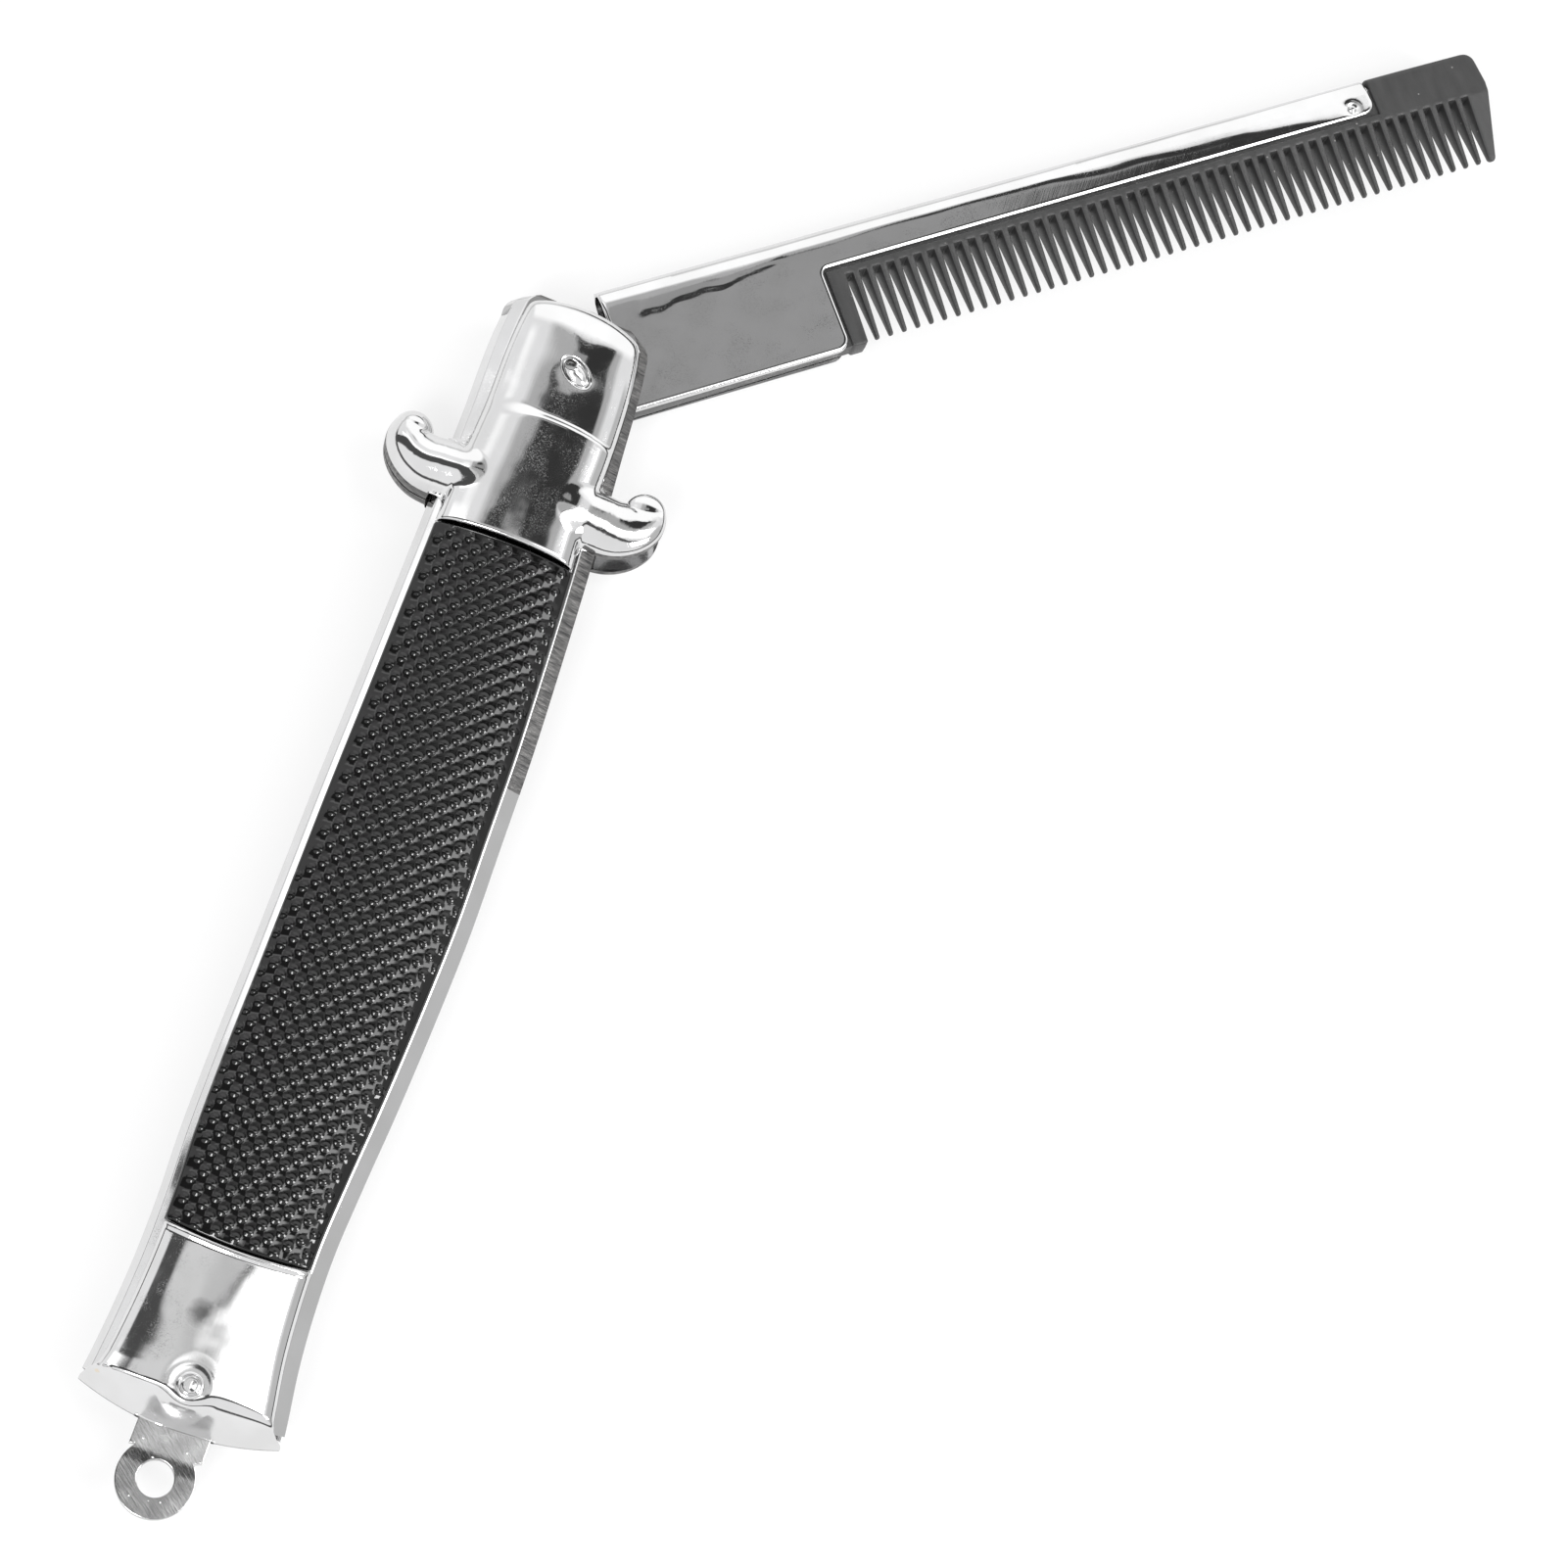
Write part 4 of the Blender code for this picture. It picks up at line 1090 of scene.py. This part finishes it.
def is_in_pivot_hole(x, y, z, _):
    hole_x, hole_y = on_head(np.array([(PIVOT_HOLE[0], 0.0)]))[0]
    low, high = PIVOT_HOLE_Z
    return math.hypot(x - hole_x, y - hole_y) < PIVOT_HOLE[1] and low < abs(z) < high


def build_rivets(steel, dark):
    # The pivot's hole takes the second material, painted dark as the shade inside the hole.
    pin = handle_pin("pivot_pin", "pivot_rivet", pivot_head(), PIVOT_PIN, PIVOT_Y, [steel, dark])
    give_second_look(pin, is_in_pivot_hole)
    handle_pin("tail_pin", "tail_rivet", tail_head(), TAIL_PIN, TAIL_RIVET_Y, [steel])


# Hang tab

TAB_HALF_THICK = 0.6
TAB_LEFT_X = -3.7
TAB_RIGHT_X = 3.85
TAB_RING_Y = -6.25
TAB_RING_RADIUS = 4.0
TAB_HOLE_RADIUS = 1.85
TAB_NECK_Y = (-3.8, -3.4)
TAB_SHOULDER_Y = 1.2
TAB_INNER_RADIUS = 1.75
TAB_PIN_HOLE_RADIUS = 1.3
TAB_BEND_Y = (-3.7, -5.5)
TAB_BEND_DROP = 0.15
TAB_EDGE = 0.09


def build_tab(steel):
    ring = (0.0, TAB_RING_Y)
    upper = math.degrees(math.asin((TAB_BEND_Y[0] - TAB_RING_Y) / TAB_RING_RADIUS))
    outline = [*arc((0.0, TAIL_RIVET_Y), TAB_INNER_RADIUS, 0, 180, 24)]
    outline += [(TAB_LEFT_X, TAB_SHOULDER_Y), (TAB_LEFT_X, TAB_NECK_Y[0])]
    outline += [*arc(ring, TAB_RING_RADIUS, 180 - upper, 360 + upper, 60)]
    outline += [(TAB_RIGHT_X, TAB_NECK_Y[1]), (TAB_RIGHT_X, TAB_SHOULDER_Y)]
    hole = arc(ring, TAB_HOLE_RADIUS, 360, 0, 60)[:-1]
    pin_hole = arc((0.0, TAIL_RIVET_Y), TAB_PIN_HOLE_RADIUS, 360, 0, 36)[:-1]
    loops = [divided(np.array(outline), 0.25), hole, pin_hole]
    plan = planned(loops, 0.28, (0.03, 0.07, 0.12, 0.2))
    x, y = plan[0].T
    depth = depth_in(plan[0], loops)
    drop = TAB_BEND_DROP * step(-y, -TAB_BEND_Y[0] - 0.1, -TAB_BEND_Y[1] + 0.1)
    soft = rounding(depth, TAB_EDGE)
    uneven = 0.006 * ripple(x, y, 3.0, 9)
    solid = relief(plan, TAB_HALF_THICK - drop - soft + uneven, -TAB_HALF_THICK - drop + soft + uneven)
    piece("hang_tab_sheet", solid, "handle", "hang_tab", [steel])


# Comb

TOOTH_COUNT = 47
TOOTH_PITCH = 1.627
FIRST_GAP_X = 33.92
ROOT_Y = 3.46
TIP_Y = -4.2
ROOT_HALF_WIDTH = 0.395
TIP_HALF_WIDTH = 0.23
COMB_HALF_THICK = 1.55
TIP_HALF_THICK = 0.42
GUARD_LEFT_X = 31.4
GUARD_BOTTOM_Y = -4.7
STRIP_TOP_Y = 4.35
COMB_END_X = 113.7
CORE_HALF_THICK = 1.2
SLEEVE_HALF_THICK = 1.8
SLEEVE_SHEET = 0.45
SLEEVE_START_X = 6.4
SLEEVE_END_X = 99.6
TANG_END_X = 31.1
TANG_BOTTOM_Y = -4.9
HEEL_RADIUS = 5.2
HEEL_FOOT_X = 4.5
SLEEVE_EDGE_Y = 4.65
BACK_Y_AT_START = 9.65
BACK_Y_AT_END = 9.05
COMB_EDGE = 0.2
TOOTH_RIDGE = 0.045
SLEEVE_RIVET = (96.9, 5.75)
SLEEVE_PIN_END = ((0.46, 1.4), (0.42, 1.62), (0.30, 1.72), (0.12, 1.75))  # radius, height
SLEEVE_DIMPLE_REACH = 0.589
SLEEVE_DIMPLE_DEPTH = 0.42
SLEEVE_ROLL_SLOPE = 0.13
SLEEVE_ROLL_START = (
    # x, the y where the sheet starts to roll towards the back
    (6.0, 7.2), (49.0, 7.4), (53.0, 7.3), (60.0, 7.15), (68.0, 6.6), (76.0, 6.3), (84.0, 6.1), (88.0, 5.7),
    (92.0, 5.2), (96.0, 4.9),
)
SLEEVE_CREASE = (
    # x, y of a dark crease on the tang
    (9.5, 5.1), (12.0, 5.4), (14.0, 5.8), (17.0, 6.0), (20.0, 6.0), (23.0, 6.3), (25.0, 6.6), (28.0, 6.9),
)
SLEEVE_CREASE_RISE = 0.038
SLEEVE_OVAL = (19.5, 1.2, 9.3, 5.0, 0.007)  # middle x and y, half length, half width, height of the edge
SLEEVE_WAVE = 0.004
SLEEVE_LEAN = 0.016


def back_line(x):
    """The comb's back, which closes in slightly towards the tip."""
    share = (x - SLEEVE_START_X) / (SLEEVE_END_X - SLEEVE_START_X)
    return BACK_Y_AT_START + (BACK_Y_AT_END - BACK_Y_AT_START) * share


def pivot_hole():
    return arc((0.0, 0.0), PIVOT_RADIUS + 0.3, 360, 0, 40)[:-1]


def comb_outline():
    """The showing plastic in plan, with every tooth, anticlockwise."""
    gap_half = TOOTH_PITCH / 2 - ROOT_HALF_WIDTH
    middles = [FIRST_GAP_X + TOOTH_PITCH * (k + 0.5) for k in range(TOOTH_COUNT)]
    last_gap_end = middles[-1] + TOOTH_PITCH / 2 + gap_half
    corners = [
        (GUARD_LEFT_X, STRIP_TOP_Y, 0.0),
        (GUARD_LEFT_X, GUARD_BOTTOM_Y, 0.35),
        (FIRST_GAP_X - gap_half - 0.35, GUARD_BOTTOM_Y, 0.3),
        (FIRST_GAP_X - gap_half, ROOT_Y, 0.08),
    ]
    for middle in middles:
        corners += [
            (middle - ROOT_HALF_WIDTH, ROOT_Y, 0.08),
            (middle - TIP_HALF_WIDTH * 0.97, TIP_Y, TIP_HALF_WIDTH * 0.86),
            (middle + TIP_HALF_WIDTH * 0.97, TIP_Y, TIP_HALF_WIDTH * 0.86),
            (middle + ROOT_HALF_WIDTH, ROOT_Y, 0.08),
        ]
    corners += [
        (last_gap_end, ROOT_Y, 0.08),
        (last_gap_end - 0.05, TIP_Y - 0.1, 0.4),
        (last_gap_end + 0.8, TIP_Y - 0.1, 0.4),
        (COMB_END_X - 0.2, ROOT_Y, 0.8),
        (COMB_END_X - 0.1, 4.6, 0.8),
        (COMB_END_X - 0.5, 8.5, 1.35),
        (SLEEVE_END_X + COVER_GAP, back_line(SLEEVE_END_X) - 0.25, 0.0),
        (SLEEVE_END_X + COVER_GAP, STRIP_TOP_Y, 0.0),
    ]
    return filleted(corners, 5)


def comb_half_thickness(x, y):
    """Full in the strip and the guard tooth, thinning evenly down the teeth."""
    taper = np.clip((ROOT_Y - y) / (ROOT_Y - TIP_Y), 0, 1) * (COMB_HALF_THICK - TIP_HALF_THICK)
    return COMB_HALF_THICK - np.where(x > FIRST_GAP_X - 0.3, taper, 0.0)


def build_comb(plastic):
    loops = [divided(comb_outline(), 0.22)]
    plan = planned(loops, 0.22, (0.03, 0.08, 0.15))
    x, y = plan[0].T
    back = back_line(x) - 0.25 - y
    top = comb_half_thickness(x, y) - rounding(depth_in(plan[0], loops), COMB_EDGE)
    top = np.minimum(top, COMB_HALF_THICK - np.where(x > SLEEVE_END_X, rounding(back, 0.75), 0.0) * 0.8)
    solid = relief(plan, top, -top, TOOTH_RIDGE)
    piece("comb_moulding", solid, "swinging_comb", "comb", [plastic], 50.0)
    margin = SLEEVE_HALF_THICK - 0.4
    start, end = SLEEVE_START_X + 0.6, SLEEVE_END_X + 1.2
    outline = [
        *arc((0.0, 0.0), HEEL_RADIUS - 0.6, 90, 270, 24),
        (HEEL_FOOT_X, TANG_BOTTOM_Y + 0.15),
        (TANG_END_X + 1.2, TANG_BOTTOM_Y + 0.4),
        (TANG_END_X + 1.2, ROOT_Y + 0.4),
        (end, ROOT_Y + 0.4),
        (end, back_line(end) - margin),
        (start, back_line(start) - margin),
        (start, HEEL_RADIUS - 0.6),
    ]
    plan = planned([divided(np.array(outline), 1.0), pivot_hole()], 1.2)
    top = np.full(len(plan[0]), CORE_HALF_THICK)
    piece("comb_core", relief(plan, top, -top), "swinging_comb", None, [plastic])


def sleeve_outline():
    outline = filleted([
        (HEEL_FOOT_X, TANG_BOTTOM_Y, 0.0),
        (TANG_END_X, TANG_BOTTOM_Y, 1.6),
        (TANG_END_X, SLEEVE_EDGE_Y, 0.7),
        (SLEEVE_END_X, SLEEVE_EDGE_Y, 1.5),
        (SLEEVE_END_X, back_line(SLEEVE_END_X), 0.0),
        (SLEEVE_START_X, back_line(SLEEVE_START_X), 0.0),
        (SLEEVE_START_X, HEEL_RADIUS, 0.0),
    ], 10)
    return np.vstack([arc((0.0, 0.0), HEEL_RADIUS, 90, 270, 40), outline])


def wavy_line(rows, x, height, size, seed):
    """A line through rows of x and y, made a little uneven."""
    table = np.array(rows)
    return np.interp(x, table[:, 0], table[:, 1]) + height * ripple(x, x * 0, size, seed)


def sleeve_relief(x, y, back_gap, calm):
    """What the outer skin has over a flat one: waves, a roll to the back, a crease, an oval and a lean."""
    past_roll = soft_max(y - wavy_line(SLEEVE_ROLL_START, x, 0.10, 9.0, 4), np.zeros_like(y), 0.5)
    roll = SLEEVE_ROLL_SLOPE * past_roll * step(back_gap, 0.0, 1.3)
    past_crease = y - wavy_line(SLEEVE_CREASE, x, 0.24, 4.0, 8)
    start, end = SLEEVE_CREASE[0][0], SLEEVE_CREASE[-1][0]
    on_crease = step(x, start, start + 1.5) * (1 - step(x, end - 2, end))
    crease = SLEEVE_CREASE_RISE * on_crease * step(past_crease, -0.3, 0.3) * (1 - step(past_crease, 0.3, 2.2))
    oval_x, oval_y, half_length, half_width, height = SLEEVE_OVAL
    ring = np.hypot((x - oval_x) / half_length, (y - oval_y) / half_width) - 1
    oval = height * np.exp(-(ring / 0.05) ** 2) * step(x, 14.0, 26.0)
    lean = SLEEVE_LEAN * y * (1 - step(x, 26.0, 44.0))
    return SLEEVE_WAVE * ripple(x, y, 6.0, 11) * calm - roll + crease + oval - lean


def build_sleeve(chrome):
    """The folded sheet: an outer and an inner skin, joined along the open edges and welded at the fold."""
    loops = [divided(sleeve_outline(), 0.3), pivot_hole()]
    xy, triangles, rim = planned(loops, 0.36, (0.04, 0.1, 0.2, 0.34, 0.55))
    x, y = xy.T
    fold = back_line(x) - SLEEVE_HALF_THICK
    past = np.clip(y - fold, 0, SLEEVE_HALF_THICK)
    on_back = np.abs(y - back_line(x)) < 1e-4
    edge_depth = depth_in(xy, loops)
    back_gap = back_line(x) - y
    open_depth = np.where(back_gap < edge_depth + 1e-3, 1.0, edge_depth)
    calm = step(np.minimum(back_gap, edge_depth), 0.0, 1.6)
    pin_gap = np.hypot(x - SLEEVE_RIVET[0], y - SLEEVE_RIVET[1])
    dimple = SLEEVE_DIMPLE_DEPTH * np.exp(-(pin_gap / SLEEVE_DIMPLE_REACH) ** 2)
    skin = np.sqrt(np.maximum(SLEEVE_HALF_THICK ** 2 - past ** 2, 0))
    outer = skin - dimple + sleeve_relief(x, y, back_gap, calm) - rounding(open_depth, 0.34) * 0.9
    shrink = (SLEEVE_HALF_THICK - SLEEVE_SHEET) / SLEEVE_HALF_THICK
    inner_y = np.where(past > 0, fold + past * shrink, y)
    outer, inner = np.where(on_back, 0.0, outer), np.where(on_back, 0.0, skin * shrink - dimple)
    count = len(xy)
    sides = ((y, outer), (inner_y, inner), (y, -outer), (inner_y, -inner))
    points = np.vstack([np.column_stack([x, *side]) for side in sides])
    weld = np.arange(4 * count)
    at_fold = np.nonzero(on_back)[0]
    weld[at_fold + 2 * count] = at_fold
    weld[at_fold + 3 * count] = at_fold + count
    start, end = rim[:, 0], rim[:, 1]
    open_edge = ~(on_back[start] & on_back[end])
    start, end = start[open_edge], end[open_edge]
    faces = [
        triangles,
        triangles[:, ::-1] + count,
        triangles[:, ::-1] + 2 * count,
        triangles + 3 * count,
        np.column_stack([end, start, start + count, end + count]),
        np.column_stack([start, end, end + count, start + count]) + 2 * count,
    ]
    faces = [tuple(dict.fromkeys(weld[list(face)].tolist())) for group in faces for face in group]
    piece("sleeve_sheet", (points, faces), "swinging_comb", "comb_sleeve",
          [chrome], 50.0)


def build_sleeve_rivet(steel):
    profile = [(radius, -z) for radius, z in reversed(SLEEVE_PIN_END)] + [*SLEEVE_PIN_END]
    piece("sleeve_pin", turned(profile, SLEEVE_RIVET, 32), "swinging_comb", "sleeve_rivet",
          [steel])


# Stage: floor, light and camera

FLOOR_SIZE = 4.0
LAMP_DISTANCE = 1.5
LAMPS = (
    # name, its direction, the direction of one side, size, radiance
    ("right_softbox", (0.74, -0.22, 0.64), (1.0, 0.37, 0.0), 0.42, 17.0),
    ("front_softbox", (-0.19, -0.57, 0.80), (1.0, 0.0, 0.0), 0.42, 17.0),
)
SOFTBOX_EDGE = (0.37, 0.137)  # the sky's own softbox ends at y = rise * x + start
SKY_PATCHES = (
    # x span, y span, softness of the edge, grey
    ((-0.22, 0.44), (0.29, 0.66), 0.08, 0.56),
    ((-0.34, 0.14), (-0.30, 0.29), 0.06, 0.84),
    ((-0.05, 0.14), (-0.30, 0.29), 0.05, 0.70),
    ((-0.17, 0.15), (0.20, 0.31), 0.03, 0.55),
    ((-0.56, -0.41), (0.33, 0.50), 0.10, 1.3),
    ((-0.78, -0.38), (0.23, 0.33), 0.05, 2.2),
    ((-0.60, 0.70), (0.62, 0.97), 0.08, 1.4),
    ((0.72, 1.10), (-0.40, 0.45), 0.06, 0.66),
)
SKY_BANDS = (
    # x span, its softness, y span, its softness, the y below which the sides slant, their slants, grey
    ((-0.66, -0.33), 0.05, (-0.20, 0.205), 0.05, 0.163, (5.5, -3.4), 0.09),
    ((-0.055, 0.33), 0.030, (0.326, 0.61), 0.008, 0.362, (5.0, 3.0), 0.045),
    ((-0.035, 0.03), 0.020, (0.300, 0.3415), 0.004, 0.0, (0.0, 0.0), 0.55),
    ((-0.09, 0.085), 0.015, (0.388, 0.50), 0.008, 0.0, (0.0, 0.0), 0.40),
)
HORIZON = (0.03, 0.19)  # z span of a dark strip that rounded edges mirror as an outline
DARK_LINE = 0.10


def build_floor():
    mesh = bpy.data.meshes.new("floor")
    half = FLOOR_SIZE / 2
    corners = [(-half, -half, 0), (half, -half, 0), (half, half, 0), (-half, half, 0)]
    mesh.from_pydata(corners, [], [(0, 1, 2, 3)])
    floor = bpy.data.objects.new("floor", mesh)
    bpy.context.scene.collection.objects.link(floor)
    look = Look("pale_floor")
    mesh.materials.append(look.finished(
        Base_Color=look.noise(60.0).mix(0.21, 0.23),
        Roughness=0.9,
        Specular_IOR_Level=0.2,
        Emission_Color=1.0,
        Emission_Strength=0.72,
    ))


def build_lamp(name, towards, along_it, size, radiance):
    """A square light in a direction from the object, with one side along a given direction."""
    data = bpy.data.lights.new(name, "AREA")
    data.size = size
    data.energy = radiance * math.pi * size ** 2
    back = Vector(towards).normalized()
    side = Vector(along_it)
    side = (side - back * side.dot(back)).normalized()
    turn = Matrix((side, back.cross(side), back)).transposed().to_4x4()
    lamp = bpy.data.objects.new(name, data)
    lamp.matrix_world = Matrix.Translation(back * LAMP_DISTANCE) @ turn
    bpy.context.scene.collection.objects.link(lamp)


def sky_colour(tree):
    """Light walls, a grey and dark ceiling that the flat faces mirror, dark outlines and a softbox."""
    towards = add_node(tree, "ShaderNodeTexCoord", "Generated")
    x, y, z = (towards.node("ShaderNodeSeparateXYZ", axis, i0=towards) for axis in "XYZ")
    upper = z.ramp(0.05, 0.15)
    colour = z.ramp(0.12, 0.42).mix(1.1, (1.02, 1.02, 1.025))
    for x_span, y_span, soft, grey in SKY_PATCHES:
        inside = x.within(*x_span, soft) * y.within(*y_span, soft)
        colour = (inside * upper).mix(colour, grey)
    for x_span, x_soft, y_span, y_soft, slant_from, slants, grey in SKY_BANDS:
        below = y.maths("MINIMUM", slant_from) - slant_from
        right_of, left_of = (x - below * slant for slant in slants)
        inside = right_of.edge(x_span[0], x_soft) * left_of.edge(x_span[1], x_soft, 1.0, 0.0)
        colour = (inside * y.within(*y_span, y_soft) * upper).mix(colour, grey)
    rise, start = SOFTBOX_EDGE
    past = y - x * rise - start
    line = past.within(0.0, 0.018, 0.006) * x.within(0.0, 0.36, 0.05)
    outline = z.within(*HORIZON, 0.05) * (x * -0.63 + y * 0.776).ramp(0.75, 0.88, 1.0, 0.35)
    for dark in (line, outline):
        colour = dark.mix(colour, DARK_LINE)
    box = past.edge(0.0, 0.008, 1.0, 0.0) * x.within(0.0, 0.64, 0.03) * y.within(0.02, 0.60, 0.04)
    return (box * upper).mix(colour, x.ramp(0.10, 0.30, 1.7, 6.0))


def build_light():
    world = bpy.data.worlds.new("studio")
    bpy.context.scene.world = world
    world.use_nodes = True
    background = world.node_tree.nodes["Background"]
    put(sky_colour(world.node_tree), background.inputs["Color"])
    background.inputs["Strength"].default_value = 1.0
    for row in LAMPS:
        build_lamp(*row)


def build_camera():
    data = bpy.data.cameras.new("camera")
    data.lens = CAMERA_LENS
    data.sensor_width = SENSOR_WIDTH
    data.clip_start = 0.01
    ahead = (Vector(CAMERA_AIM) - Vector(CAMERA_PLACE)).normalized()
    level = (Vector((0.0, 1.0, 0.0)) - ahead * ahead.y).normalized()
    side = ahead.cross(level)
    roll = math.radians(CAMERA_ROLL)
    up = level * math.cos(roll) + side * math.sin(roll)
    right = ahead.cross(up)
    camera = bpy.data.objects.new("camera", data)
    turn = Matrix((right, up, -ahead)).transposed().to_4x4()
    camera.matrix_world = Matrix.Translation(CAMERA_PLACE) @ turn
    bpy.context.scene.collection.objects.link(camera)
    bpy.context.scene.camera = camera


def main():
    chrome = bright_chrome("bright_chrome_plate")
    pin = bright_chrome("bright_pin_steel", 0.7, 0.08, 2.0)
    sheared = raw_edge()
    build_frames(chrome, sheared)
    build_bolsters(chrome, sheared)
    build_grips(gloss_black())
    build_caps(bright_chrome("bright_chrome_cap", scratch=0.4, stains=CAP_STAINS, end_dull=0.14))
    build_rivets(pin, painted_shade_bore())
    build_tab(worn_steel())
    build_comb(satin_charcoal())
    build_sleeve(bright_chrome("bright_chrome_sleeve", 0.72, 0.045, 1.5))
    build_sleeve_rivet(pin)
    build_floor()
    build_light()
    build_camera()
    bpy.context.scene.view_settings.view_transform = "Standard"


main()
